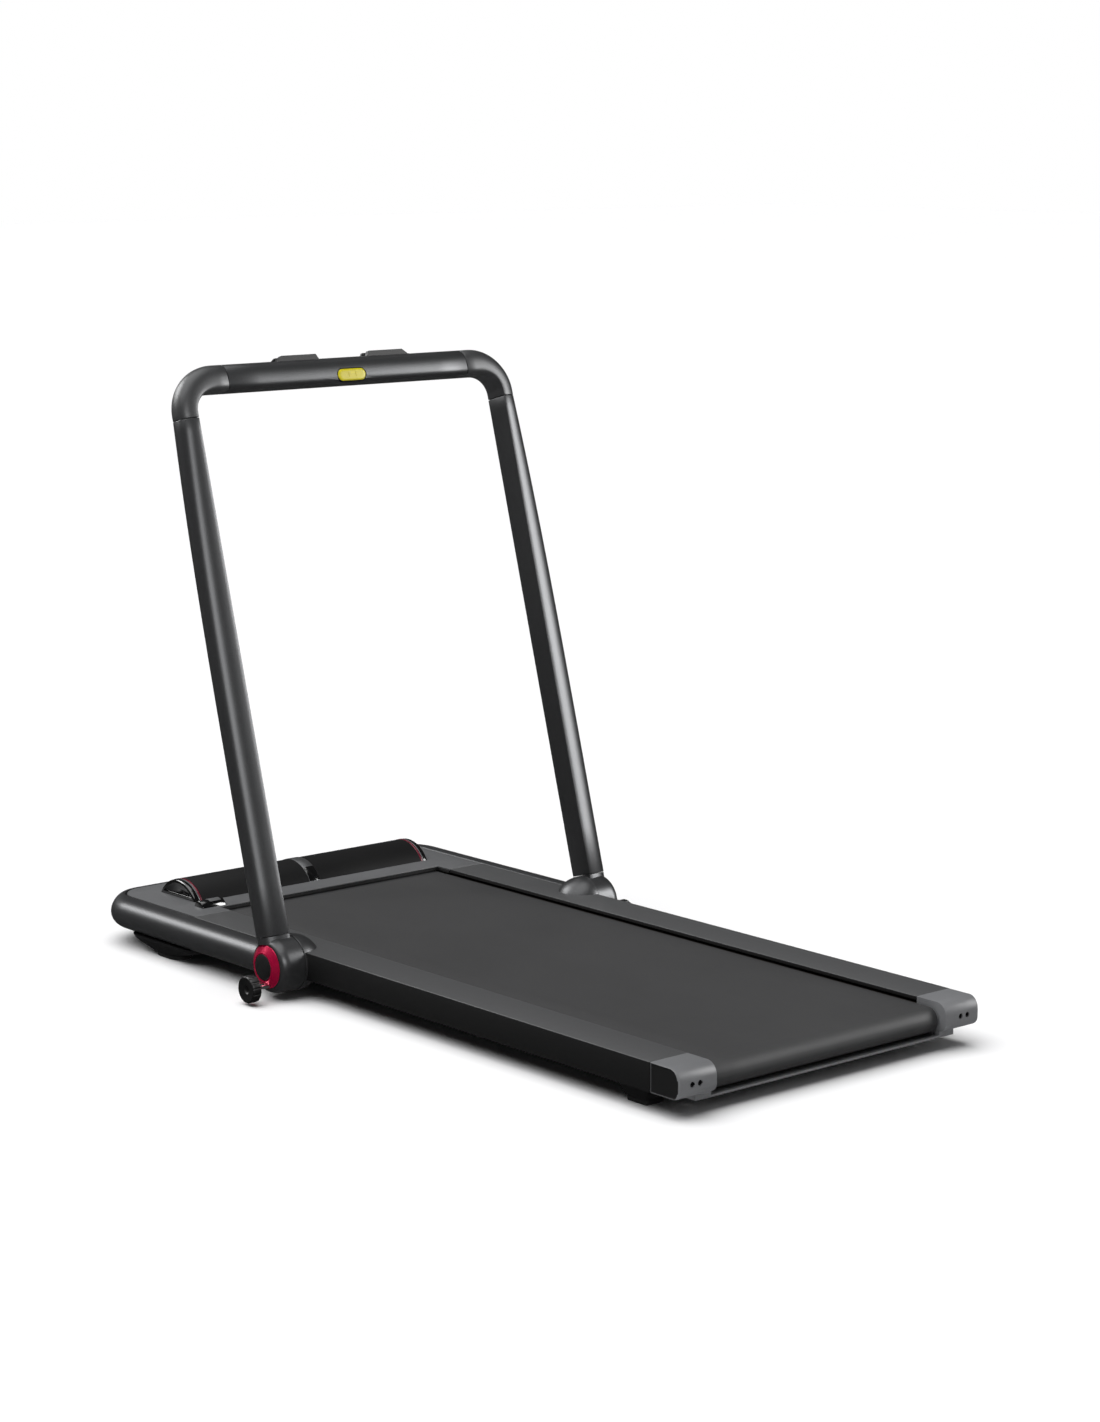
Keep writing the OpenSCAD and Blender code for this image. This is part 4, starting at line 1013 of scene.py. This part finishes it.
class TREADMILL_OT_feet(bpy.types.Operator):
    """Front foot pods, rear foot blocks and their rubber pads"""
    bl_idname = "treadmill.feet"
    bl_label = "Feet"

    def execute(self, context):
        lo, hi = low("front_foot_pods"), high("front_foot_pods")
        pad_top = high("foot_pads").z
        pod_y = (lo.y + hi.y) / 2
        half_x, half_y = hi.x - POD_X, (hi.y - lo.y) / 2
        levels = [(0.0, 1.0), (0.07, 0.995), (0.14, 0.975), (0.24, 0.925), (0.36, 0.83), (0.50, 0.69),
                  (0.64, 0.52), (0.78, 0.33), (0.90, 0.16), (0.97, 0.05), (1.0, 0.0)]
        rings = [[Vector((POD_X + p.x, pod_y + p.y, mix(hi.z, pad_top + 0.0004, fall))) for p in oval(
            mix(POD_LOW_HALF[0], half_x, full), mix(POD_LOW_HALF[1], half_y, full))] for fall, full in levels]
        pod = extruded_through("front_pods", rings)
        finished(joined(pod, twin(pod, "left_pod")), "black", "root",
                 ["front_foot_pods"], 40)
        lo, hi = low("rear_foot_blocks"), high("rear_foot_blocks")
        x = hi.x - BLOCK_HALF[0]
        y = (lo.y + hi.y) / 2
        sizes = [(hi.z, *BLOCK_HALF), (hi.z - 0.004, *BLOCK_HALF), (pad_top + 0.003, 0.0205, 0.0235),
                 (pad_top + 0.0002, 0.0195, 0.0225)]
        rings = [[Vector((p.x, p.y, z)) for p in block_outline(x, y, w, d, 0.003)] for z, w, d in sizes]
        block = extruded_through("rear_blocks", rings)
        finished(joined(block, twin(block, "left_block")), "black", "root",
                 ["rear_foot_blocks"], 40)
        front_plan = [Vector((POD_X + p.x, pod_y + p.y)) for p in oval(*FRONT_PAD_HALF, 40)]
        front_pad = slab("foot_rubbers", front_plan, 0.0, pad_top, PAD_SOFT)
        rear_pad = slab("rear_pad", block_outline(x, y, *REAR_PAD_HALF, 0.004), 0.0, pad_top, PAD_SOFT)
        pads = joined(front_pad, rear_pad)
        finished(joined(pads, twin(pads, "left_pads")), "rubber", "root", ["foot_pads"], 40)
        return {"FINISHED"}


# ---------- hinges and knobs ----------


DOME_REACH = 0.050
DOME_PLATE = 0.003
BARREL_SHOULDER = 0.016
BARREL_RIM = 0.035
RING_RECESS_R = 0.0352


class TREADMILL_OT_hinges(bpy.types.Operator):
    """Hinges: the domed fixed half over each rail, the round moving half, its crimson ring and dark disc"""
    bl_idname = "treadmill.hinges"
    bl_label = "Hinges"

    def execute(self, context):
        face = RAIL_OUT + DOME_PLATE
        wide = BARREL_R + 0.001
        steps = 20
        dome = [(face - DOME_PLATE - (DOME_REACH - DOME_PLATE) * math.cos(math.pi / 2 * k / steps),
                 wide * math.sin(math.pi / 2 * k / steps)) for k in range(steps + 1)]
        dome += [(face - 0.0006, wide), (face, wide - 0.0006), (face, 0.0)]
        bracket = spun("right_hinge_dome", dome, HINGE.y, HINGE.z, 96)
        cut(bracket, boxed("rail_space", (RAIL_IN - 0.05, HINGE.y - 0.1, RAIL_LOW),
                           (RAIL_OUT, HINGE.y + 0.1, DECK_TOP)))
        other = twin(bracket, "left_hinge_dome")
        for thing, node in ((bracket, "right_hinge_bracket"), (other, "left_hinge_bracket")):
            finished(thing, "gunmetal", "root", [node], 42)
        outline = [(BARREL_IN, 0.0), (BARREL_IN, BARREL_R - 0.0006), (BARREL_IN + 0.0006, BARREL_R)]
        quarter_turn = [math.pi / 2 * k / 16 for k in range(17)]
        outline += [(BARREL_OUT - BARREL_SHOULDER + BARREL_SHOULDER * math.sin(a),
                     BARREL_RIM + (BARREL_R - BARREL_RIM) * math.cos(a)) for a in quarter_turn]
        outline += [(BARREL_OUT, 0.0)]
        housing = spun("right_hinge_barrel", outline, HINGE.y, HINGE.z, 96)
        seam = context.scene.treadmill_sizes.seam
        neck = extruded_through("neck", [[on_rail(ARM_IN + n, e, s) for e, n in arm_section(
            ARM_DEPTH - 0.001, ARM_LOW_T - 0.0005)] for s in (0.004, ARM_FOOT - seam)])
        select_none()
        bpy.ops.mesh.primitive_cylinder_add(vertices=96, radius=RING_RECESS_R, depth=0.02,
                                            rotation=(0, math.pi / 2, 0),
                                            location=(BARREL_OUT + 0.01, HINGE.y, HINGE.z))
        cut(neck, context.object)
        apply_modifier(housing, "BOOLEAN", operation="UNION", solver="EXACT", object=neck)
        bpy.data.objects.remove(neck)
        other = twin(housing, "left_hinge_barrel")
        for thing, node in ((housing, "right_hinge_housing"), (other, "left_hinge_housing")):
            finished(thing, "gunmetal", "handrail", [node], 38)
        x0, x1 = BARREL_OUT, RING_OUT
        ring = spun("hinge_ring_pair", [
            (x0 + 0.0002, RING_BORE_R), (x0 + 0.0002, RING_R - 0.0005), (x0 + 0.0008, RING_R),
            (x0 + 0.0017, RING_R - 0.0002), (x1 - 0.0006, RING_BORE_R + 0.0030), (x1, RING_BORE_R + 0.0020),
            (x1 - 0.0001, RING_BORE_R + 0.0002), (x1 - 0.0006, RING_BORE_R), (x0 + 0.0002, RING_BORE_R)],
            HINGE.y, HINGE.z, 96)
        finished(joined(ring, twin(ring, "left_ring")), "crimson", "handrail", ["hinge_rings"], 30)
        disc = spun("hinge_disc_pair", [
            (x0 + 0.0002, 0.0), (x0 + 0.0002, DISC_R), (x1 - 0.0012, DISC_R), (x1 - 0.0004, DISC_R - 0.0005),
            (x1 + 0.0001, DISC_R - 0.0015), (x1 + 0.0008, 0.0100), (x1 + 0.0010, 0.0)],
            HINGE.y, HINGE.z, 96)
        finished(joined(disc, twin(disc, "left_disc")), "disc", "handrail", ["hinge_discs"], 30)
        return {"FINISHED"}


FLUTES = 14
FLUTE_R = 0.0024
FLUTE_OUT = 0.0008
PIN_R = 0.004


class TREADMILL_OT_knobs(bpy.types.Operator):
    """Fluted lock knobs and their bright pins"""
    bl_idname = "treadmill.knobs"
    bl_label = "Lock knobs"

    def execute(self, context):
        axis = on_rail(0, 0, -KNOB_DROP)
        back = KNOB_OUT - KNOB_W
        knob = spun("right_lock_knob", [
            (back - 0.005, 0.0), (back - 0.005, 0.0084), (back - 0.0044, 0.009), (back, 0.0102),
            (back, 0.0195), (back + 0.0004, 0.0206), (back + 0.0014, KNOB_R), (KNOB_OUT - 0.0026, KNOB_R),
            (KNOB_OUT - 0.0010, 0.0208), (KNOB_OUT - 0.0001, 0.0194), (KNOB_OUT - 0.0004, 0.0176),
            (KNOB_OUT - 0.0016, 0.0120), (KNOB_OUT - 0.0024, 0.0070), (KNOB_OUT - 0.0040, 0.0056),
            (KNOB_OUT - 0.0052, 0.0034), (KNOB_OUT - 0.0056, 0.0)], axis.y, axis.z, 112)
        tools = []
        for k in range(FLUTES):
            angle = 2 * math.pi * (k + 0.5) / FLUTES
            select_none()
            bpy.ops.mesh.primitive_cylinder_add(
                vertices=24, radius=FLUTE_R, depth=0.03, rotation=(0, math.pi / 2, 0),
                location=(KNOB_OUT - KNOB_W / 2, axis.y + (KNOB_R + FLUTE_OUT) * math.cos(angle),
                          axis.z + (KNOB_R + FLUTE_OUT) * math.sin(angle)))
            tools.append(context.object)
        cut(knob, joined(*tools))
        other = twin(knob, "left_lock_knob")
        for thing, side in ((knob, "right"), (other, "left")):
            finished(thing, "knob", side + "_knob", [side + "_knob"], 35)
        start = low("right_lock_pin").x
        pin_end = back + 0.0058
        pin = spun("right_pin", [(start, 0.0), (start, PIN_R - 0.0006), (start + 0.0006, PIN_R),
                                 (pin_end, PIN_R), (pin_end, 0.0)], axis.y, axis.z, 40)
        other = twin(pin, "left_pin")
        for thing, side in ((pin, "right"), (other, "left")):
            finished(thing, "chrome", side + "_lock", [side + "_lock_pin"], 35)
        return {"FINISHED"}


# ---------- handrail ----------

FULLNESS = 2.5
ROUND_STEPS = 34


def arm_section(depth, thick, soft=0.001):
    """Outline of the handrail tube as (e, n): flat towards the user's side, full and round outside."""
    corner = 3
    points = []
    for k in range(corner + 1):
        a = math.radians(-90 + 90 * k / corner)
        points.append((depth / 2 - soft + soft * math.cos(a), soft + soft * math.sin(a)))
    for k in range(1, ROUND_STEPS):
        a = math.pi * k / ROUND_STEPS
        c, s = math.cos(a), math.sin(a)
        points.append((math.copysign(depth / 2 * abs(c) ** (2 / FULLNESS), c),
                       soft + (thick - soft) * s ** (2 / FULLNESS)))
    for k in range(corner + 1):
        a = math.radians(180 + 90 * k / corner)
        points.append((-depth / 2 + soft + soft * math.cos(a), soft + soft * math.sin(a)))
    return points


def mix(a, b, share):
    return a + (b - a) * share


def arm_thick(s):
    return ARM_LOW_T - (ARM_LOW_T - ARM_HIGH_T) * (s / ARM_TOP) ** 4


def rim_levels(start, end, soft):
    """Stations along a tube with the insets that round its two rims."""
    return [(start, soft), (start + soft * 0.3, soft * 0.3), (start + soft, 0.0)], [
        (end - soft, 0.0), (end - soft * 0.3, soft * 0.3), (end, soft)]


class TREADMILL_OT_arms(bpy.types.Operator):
    """The two leaning arms, flat inside and round outside, slimmer towards the top"""
    bl_idname = "treadmill.arms"
    bl_label = "Arms"

    def execute(self, context):
        seam = context.scene.treadmill_sizes.seam
        soft = context.scene.treadmill_sizes.edge

        def ring(s, inset):
            return [on_rail(ARM_IN + inset + n, e, s) for e, n in arm_section(
                ARM_DEPTH - 2 * inset, arm_thick(s) - 2 * inset)]

        lower, upper = rim_levels(ARM_FOOT + seam, ARM_TOP - seam, soft)
        middle = [(mix(ARM_FOOT, ARM_TOP, 1 - (1 - k / 14) ** 1.4), 0.0) for k in range(1, 14)]
        arm = extruded_through("right_arm_skin", [ring(s, inset) for s, inset in lower + middle + upper])
        other = twin(arm, "left_arm_skin")
        for thing, node in ((arm, "right_arm"), (other, "left_arm")):
            finished(thing, "gunmetal", "handrail", [node], 45)
        return {"FINISHED"}


class TREADMILL_OT_elbows(bpy.types.Operator):
    """Moulded elbows that turn the arms into the crossbar"""
    bl_idname = "treadmill.elbows"
    bl_label = "Elbows"

    def execute(self, context):
        seam = context.scene.treadmill_sizes.seam
        soft = context.scene.treadmill_sizes.edge

        def ring(angle, inset, shift_x=0.0, shift_s=0.0):
            share = (1 - math.cos(2 * angle)) / 2
            inner = mix(ARM_IN - ELBOW_X, BAR_LOW - ELBOW_S, share) + inset
            outer = mix(ARM_IN + ARM_HIGH_T - ELBOW_X, BAR_TOP - ELBOW_S, share) - inset
            rim = mix(0.001, 0.010, share)
            return [on_rail(ELBOW_X + shift_x + (inner + n) * math.cos(angle), e,
                            ELBOW_S + shift_s + (inner + n) * math.sin(angle))
                    for e, n in arm_section(ARM_DEPTH - 2 * inset, outer - inner, rim)]

        drop = ARM_TOP - ELBOW_S
        reach = BAR_END - ELBOW_X
        rings = [ring(0, soft, 0, drop + seam), ring(0, soft * 0.3, 0, drop + seam + soft * 0.3),
                 ring(0, 0, 0, drop + seam + soft)]
        steps = 26
        rings += [ring(math.pi / 2 * k / steps, 0.0) for k in range(steps + 1)]
        rings += [ring(math.pi / 2, 0, reach + seam + soft, 0),
                  ring(math.pi / 2, soft * 0.3, reach + seam + soft * 0.3, 0),
                  ring(math.pi / 2, soft, reach + seam, 0)]
        elbow = extruded_through("right_elbow_skin", rings)
        other = twin(elbow, "left_elbow_skin")
        for thing, node in ((elbow, "right_elbow"), (other, "left_elbow")):
            finished(thing, "elbow", "handrail", [node], 45)
        return {"FINISHED"}


REST_HALF = 0.136
HOOK_IN = 0.048
HOOK_RISE = 0.008
SLOT = (0.0, 0.011)
REST = (-0.008, 0.016)
KEY_S = BAR_LOW + 0.0125
KEY_W = 0.0565
KEY_H = 0.0197
KEY_FACE = -ARM_DEPTH / 2 - 0.001


def pill(width, height, count=40):
    """Outline with round ends, as (x, s), round the key's middle."""
    points = []
    for k in range(count):
        angle = 2 * math.pi * (k + 0.5) / count
        shift = (width - height) / 2 * (1 if math.cos(angle) > 0 else -1)
        points.append(Vector((shift + height / 2 * math.cos(angle), height / 2 * math.sin(angle))))
    return points


def pill_rings(levels):
    """Rings of a pill-shaped piece at given depths: (e, how much it is grown)."""
    return [[on_rail(p.x, e, KEY_S + p.y) for p in grown(pill(KEY_W, KEY_H), more)] for e, more in levels]


def rail_box(name, x0, x1, e0, e1, s0, s1):
    """A block square to the handrail."""
    block = boxed(name, (x0, e0, s0), (x1, e1, s1))
    start_edit(block)
    mesh = bmesh.from_edit_mesh(block.data)
    for vert in mesh.verts:
        vert.co = on_rail(*vert.co)
    end_edit(block)
    return block


class TREADMILL_OT_crossbar(bpy.types.Operator):
    """Crossbar with its pocket for the tablet rest and its recess for the safety key"""
    bl_idname = "treadmill.crossbar"
    bl_label = "Crossbar"

    def execute(self, context):
        seam = context.scene.treadmill_sizes.seam
        soft = context.scene.treadmill_sizes.edge

        def ring(x, inset):
            return [on_rail(x, e, BAR_LOW + inset + n) for e, n in arm_section(
                ARM_DEPTH - 2 * inset, BAR_T - 2 * inset, 0.010)]

        end = BAR_END - seam
        left, right = rim_levels(-end, end, soft)
        middle = [(mix(-end, end, k / 8), 0.0) for k in range(1, 8)]
        bar = extruded_through("crossbar_skin", [ring(x, inset) for x, inset in left + middle + right])
        cut(bar, rail_box("rest_pocket", -REST_HALF - 0.0003, REST_HALF + 0.0003, REST[0] - 0.0003,
                          REST[1] + 0.0003, BAR_TOP - 0.0053, BAR_TOP + 0.01))
        cut(bar, extruded_through("key_pocket", pill_rings([(-0.05, 0.0015), (KEY_FACE + 0.0118, 0.0015)])))
        finished(bar, "gunmetal", "handrail", ["crossbar"], 40)
        return {"FINISHED"}


class TREADMILL_OT_tablet_rest(bpy.types.Operator):
    """Black insert in the crossbar's top: a slot for a tablet's edge between two pairs of hooks"""
    bl_idname = "treadmill.tablet_rest"
    bl_label = "Tablet rest"

    def execute(self, context):
        top = BAR_TOP
        hook_top = top + HOOK_RISE
        base = rail_box("rest_skin", -REST_HALF, REST_HALF, REST[0], REST[1], top - 0.005, top - 0.0005)
        for side in (-1, 1):
            outline = fillet([(HOOK_IN, top - 0.002), (HOOK_IN + 0.006, hook_top),
                              (REST_HALF - 0.013, hook_top), (REST_HALF, top - 0.002)],
                             [0.0, 0.002, 0.003, 0.0], 5)
            rings = [[on_rail(side * p.x, e, p.y) for p in grown(outline, inset)] for e, inset in (
                (REST[0], -0.0006), (REST[0] + 0.0006, 0.0), (REST[1] - 0.0006, 0.0), (REST[1], -0.0006))]
            hook = extruded_through("hook", rings)
            apply_modifier(base, "BOOLEAN", operation="UNION", solver="EXACT", object=hook)
            bpy.data.objects.remove(hook)
        cut(base, rail_box("tablet_slot", -REST_HALF - 0.01, REST_HALF + 0.01, SLOT[0], SLOT[1], top - 0.003,
                           top + 0.03))
        rounded(base, 0.0004, 2, 50)
        finished(base, "black", "handrail", ["tablet_rest"], 40)
        return {"FINISHED"}


class TREADMILL_OT_safety_key(bpy.types.Operator):
    """Yellow magnetic safety key in its socket, the socket's very dark colour partly black plastic and partly
    painted shade
    """
    bl_idname = "treadmill.safety_key"
    bl_label = "Safety key"

    def execute(self, context):
        socket = extruded_through("key_socket_skin", pill_rings([
            (KEY_FACE + 0.0112, 0.0012), (KEY_FACE + 0.0014, 0.0012), (KEY_FACE + 0.0009, 0.0010),
            (KEY_FACE + 0.0009, 0.0004), (KEY_FACE + 0.0014, 0.0002), (KEY_FACE + 0.0094, 0.0002)]))
        # The socket takes the extra-dark finish: black plastic with painted shade round the key.
        finished(socket, "dark", "handrail", ["key_socket"], 35)
        key = extruded_through("safety_key_skin", pill_rings([
            (KEY_FACE + 0.0090, -0.0010), (KEY_FACE + 0.0084, 0.0), (KEY_FACE + 0.0020, 0.0),
            (KEY_FACE + 0.0008, -0.0004), (KEY_FACE + 0.0001, -0.0014), (KEY_FACE - 0.0002, -0.0028),
            (KEY_FACE - 0.0003, -0.0060)]))
        for x in (-0.007, 0.007):
            cut(key, rail_box("mark", x - 0.0006, x + 0.0006, KEY_FACE - 0.003, KEY_FACE + 0.0006,
                              KEY_S - 0.004, KEY_S + 0.004))
        finished(key, "yellow", "safety_key", ["safety_key"], 40)
        return {"FINISHED"}


# ---------- inlet, wheels and inner parts ----------


class TREADMILL_OT_power_inlet(bpy.types.Operator):
    """Mains inlet and rocker switch in the bumper's front"""
    bl_idname = "treadmill.power_inlet"
    bl_label = "Mains inlet"

    def execute(self, context):
        lo, hi = low("power_inlet"), high("power_inlet")
        z = (lo.z + hi.z) / 2
        panel = boxed("inlet_panel", lo, hi)
        rounded(panel, 0.0015, 3)
        socket_x = lo.x + 0.024
        well = fillet([(socket_x - 0.0125, z - 0.0085), (socket_x + 0.0125, z - 0.0085),
                       (socket_x + 0.0125, z + 0.0045), (socket_x + 0.0085, z + 0.0085),
                       (socket_x - 0.0085, z + 0.0085), (socket_x - 0.0125, z + 0.0045)], [0.001] * 6, 3)
        tool = extruded_through("socket_well", [[Vector((p.x, y, p.y)) for p in well]
                                                for y in (hi.y - 0.014, hi.y + 0.01)])
        cut(panel, tool)
        rocker = (low("power_switch") + high("power_switch")) / 2
        cut(panel, boxed("rocker_well", (rocker.x - 0.0105, hi.y - 0.016, z - 0.0075),
                         (rocker.x + 0.0105, hi.y + 0.01, z + 0.0075)))
        pins = [boxed("pin", (socket_x + dx - 0.001, hi.y - 0.0141, z + dz - 0.002),
                      (socket_x + dx + 0.001, hi.y - 0.008, z + dz + 0.002))
                for dx, dz in ((-0.007, -0.002), (0.007, -0.002), (0.0, 0.003))]
        finished(panel, "black", "root", ["power_inlet"], 35)
        blades = joined(*pins)
        blades.name = "inlet_blades"
        rounded(blades, 0.0003, 2)
        finished(blades, "steel", "root", (), 35)
        return {"FINISHED"}


class TREADMILL_OT_wheels(bpy.types.Operator):
    """Transport wheels with a rounded tread and a dished hub"""
    bl_idname = "treadmill.wheels"
    bl_label = "Transport wheels"

    def execute(self, context):
        lo, hi = low("right_transport_wheel"), high("right_transport_wheel")
        y, z = (lo.y + hi.y) / 2, (lo.z + hi.z) / 2
        radius = hi.z - z
        pin = 0.004
        stub = 0.007
        x0, x1 = lo.x + stub, hi.x - stub
        half = [(lo.x, 0.0), (lo.x, pin - 0.0006), (lo.x + 0.0006, pin), (x0 + 0.0004, pin), (x0, 0.0065),
                (x0, 0.0090), (x0 + 0.003, 0.0096), (x0 + 0.003, 0.0146), (x0, 0.0154), (x0, radius - 0.002),
                (x0 + 0.0007, radius - 0.0006), (x0 + 0.0022, radius)]
        middle = (x0 + x1) / 2
        outline = half + [(2 * middle - x, r) for x, r in reversed(half)]
        wheel = spun("right_wheel_skin", outline, y, z, 64)
        other = twin(wheel, "left_wheel_skin")
        for thing, side in ((wheel, "right"), (other, "left")):
            finished(thing, "rubber", side + "_wheel", [side + "_transport_wheel"], 35)
        return {"FINISHED"}


INNER = {
    "bolt": ["rear_end_bolts"],
    "black": ["belly_pan"],
    "frame": ["front_crossmember", "middle_crossmembers", "motor_bracket"],
    "wood": ["running_board"],
    "rubber": ["board_cushions", "drive_belt"],
    "steel": ["front_roller", "front_roller_axle", "front_roller_bearings", "rear_roller", "rear_roller_axle",
              "rear_roller_bearings", "motor_pulley", "hinge_pins"],
    "motor": ["motor"],
    "circuit": ["controller_board"],
    "fins": ["heat_sink"],
    "switch": ["power_switch"],
}


class TREADMILL_OT_inner_parts(bpy.types.Operator):
    """Finishes of the parts that keep the frame's own shape"""
    bl_idname = "treadmill.inner_parts"
    bl_label = "Inner parts"

    def execute(self, context):
        for finish, nodes in INNER.items():
            for node in nodes:
                mesh = frame["nodes"][node].data
                mesh.materials.clear()
                mesh.materials.append(finish_of(finish))
        return {"FINISHED"}


# ---------- stage ----------

CAMERA_PLACE = (-3.3088, -3.9477, 1.3779)
CAMERA_PITCH = 0.1794
CAMERA_TURN = 0.7075
CAMERA_LENS = 84.85
ROOM_LIGHT = 0.05
DOME_POWER = 3.5
DOME_SPREAD = 76
DOME_FROM = (-0.25, 0.12, 1.0)
SOFT_BOXES = (
    ("rear_right_box", (3.4, -2.3, 1.7), (0, 0, 0.5), 1.3, 2.4, 230),
    ("camera_fill", (-2.2, -4.6, 2.3), (0, 0, 0.4), 2.6, 1.6, 150),
    ("front_left_box", (-1.4, 3.2, 2.6), (0, 0.3, 0.2), 2.2, 1.6, 120),
)


def soft_light(name, place, target, width, height, power):
    """A large soft box aimed at a point."""
    data = bpy.data.lights.new(name, "AREA")
    data.shape = "RECTANGLE"
    data.size = width
    data.size_y = height
    data.energy = power
    lamp = bpy.data.objects.new(name, data)
    bpy.context.scene.collection.objects.link(lamp)
    lamp.location = place
    lamp.visible_diffuse = False
    lamp.rotation_euler = (Vector(target) - Vector(place)).to_track_quat("-Z", "Y").to_euler()
    return lamp


class TREADMILL_OT_stage(bpy.types.Operator):
    """Pale floor, soft studio lights and the camera"""
    bl_idname = "treadmill.stage"
    bl_label = "Stage"

    def execute(self, context):
        select_none()
        bpy.ops.mesh.primitive_plane_add(size=60)
        floor = context.object
        floor.name = "studio_floor"
        pale = Finish("studio_floor_paint", (0.94, 0.94, 0.945), 0.9)
        pale.shade(pale.noise(0.7, 2.0), 0.01)
        floor.data.materials.append(pale.material)
        floor.visible_glossy = False
        world = bpy.data.worlds.new("studio")
        context.scene.world = world
        world.use_nodes = True
        nodes, links = world.node_tree.nodes, world.node_tree.links
        ray = nodes.new("ShaderNodeLightPath")
        strength = nodes.new("ShaderNodeMapRange")
        strength.inputs["To Min"].default_value = ROOM_LIGHT
        strength.inputs["To Max"].default_value = 1.0
        links.new(ray.outputs["Is Camera Ray"], strength.inputs["Value"])
        links.new(strength.outputs[0], nodes["Background"].inputs["Strength"])
        nodes["Background"].inputs["Color"].default_value = (1.0, 1.0, 1.0, 1.0)
        sun = bpy.data.lights.new("high_dome", "SUN")
        sun.energy = DOME_POWER
        sun.angle = math.radians(DOME_SPREAD)
        dome = bpy.data.objects.new("high_dome", sun)
        context.scene.collection.objects.link(dome)
        dome.rotation_euler = Vector(DOME_FROM).to_track_quat("Z", "Y").to_euler()
        for name, place, target, width, height, power in SOFT_BOXES:
            soft_light(name, place, target, width, height, power)
        data = bpy.data.cameras.new("studio_camera")
        data.lens = CAMERA_LENS
        data.sensor_width = 36
        data.clip_end = 100
        camera = bpy.data.objects.new("studio_camera", data)
        context.scene.collection.objects.link(camera)
        camera.location = CAMERA_PLACE
        camera.rotation_euler = (math.pi / 2 - CAMERA_PITCH, 0, -CAMERA_TURN)
        context.scene.camera = camera
        context.scene.view_settings.view_transform = "Standard"
        return {"FINISHED"}


OPERATORS = (
    TREADMILL_OT_stage, TREADMILL_OT_rails, TREADMILL_OT_rear_caps, TREADMILL_OT_guard_bar,
    TREADMILL_OT_bumper, TREADMILL_OT_hood_plate, TREADMILL_OT_motor_cover,
    TREADMILL_OT_start_switch, TREADMILL_OT_belt, TREADMILL_OT_feet, TREADMILL_OT_hinges, TREADMILL_OT_knobs,
    TREADMILL_OT_arms, TREADMILL_OT_elbows,
    TREADMILL_OT_crossbar, TREADMILL_OT_tablet_rest, TREADMILL_OT_safety_key, TREADMILL_OT_power_inlet,
    TREADMILL_OT_wheels, TREADMILL_OT_inner_parts,
)


class TREADMILL_PT_panel(bpy.types.Panel):
    """Lists the treadmill's sizes, colours and build steps"""
    bl_idname = "TREADMILL_PT_panel"
    bl_label = "Treadmill"
    bl_space_type = "VIEW_3D"
    bl_region_type = "UI"
    bl_category = "Treadmill"

    def draw(self, context):
        for group in (context.scene.treadmill_sizes, context.scene.treadmill_colours):
            for name in group.__annotations__:
                self.layout.prop(group, name)
        for step in OPERATORS:
            self.layout.operator(step.bl_idname)


CLASSES = (TreadmillSizes, TreadmillColours, *OPERATORS, TREADMILL_PT_panel)


def register():
    for item in CLASSES:
        bpy.utils.register_class(item)
    bpy.types.Scene.treadmill_sizes = PointerProperty(type=TreadmillSizes)
    bpy.types.Scene.treadmill_colours = PointerProperty(type=TreadmillColours)


def unregister():
    del bpy.types.Scene.treadmill_colours
    del bpy.types.Scene.treadmill_sizes
    for item in reversed(CLASSES):
        bpy.utils.unregister_class(item)


def main():
    register()
    for step in OPERATORS:
        group, name = step.bl_idname.split(".")
        getattr(getattr(bpy.ops, group), name)()


if __name__ == "__main__":
    main()
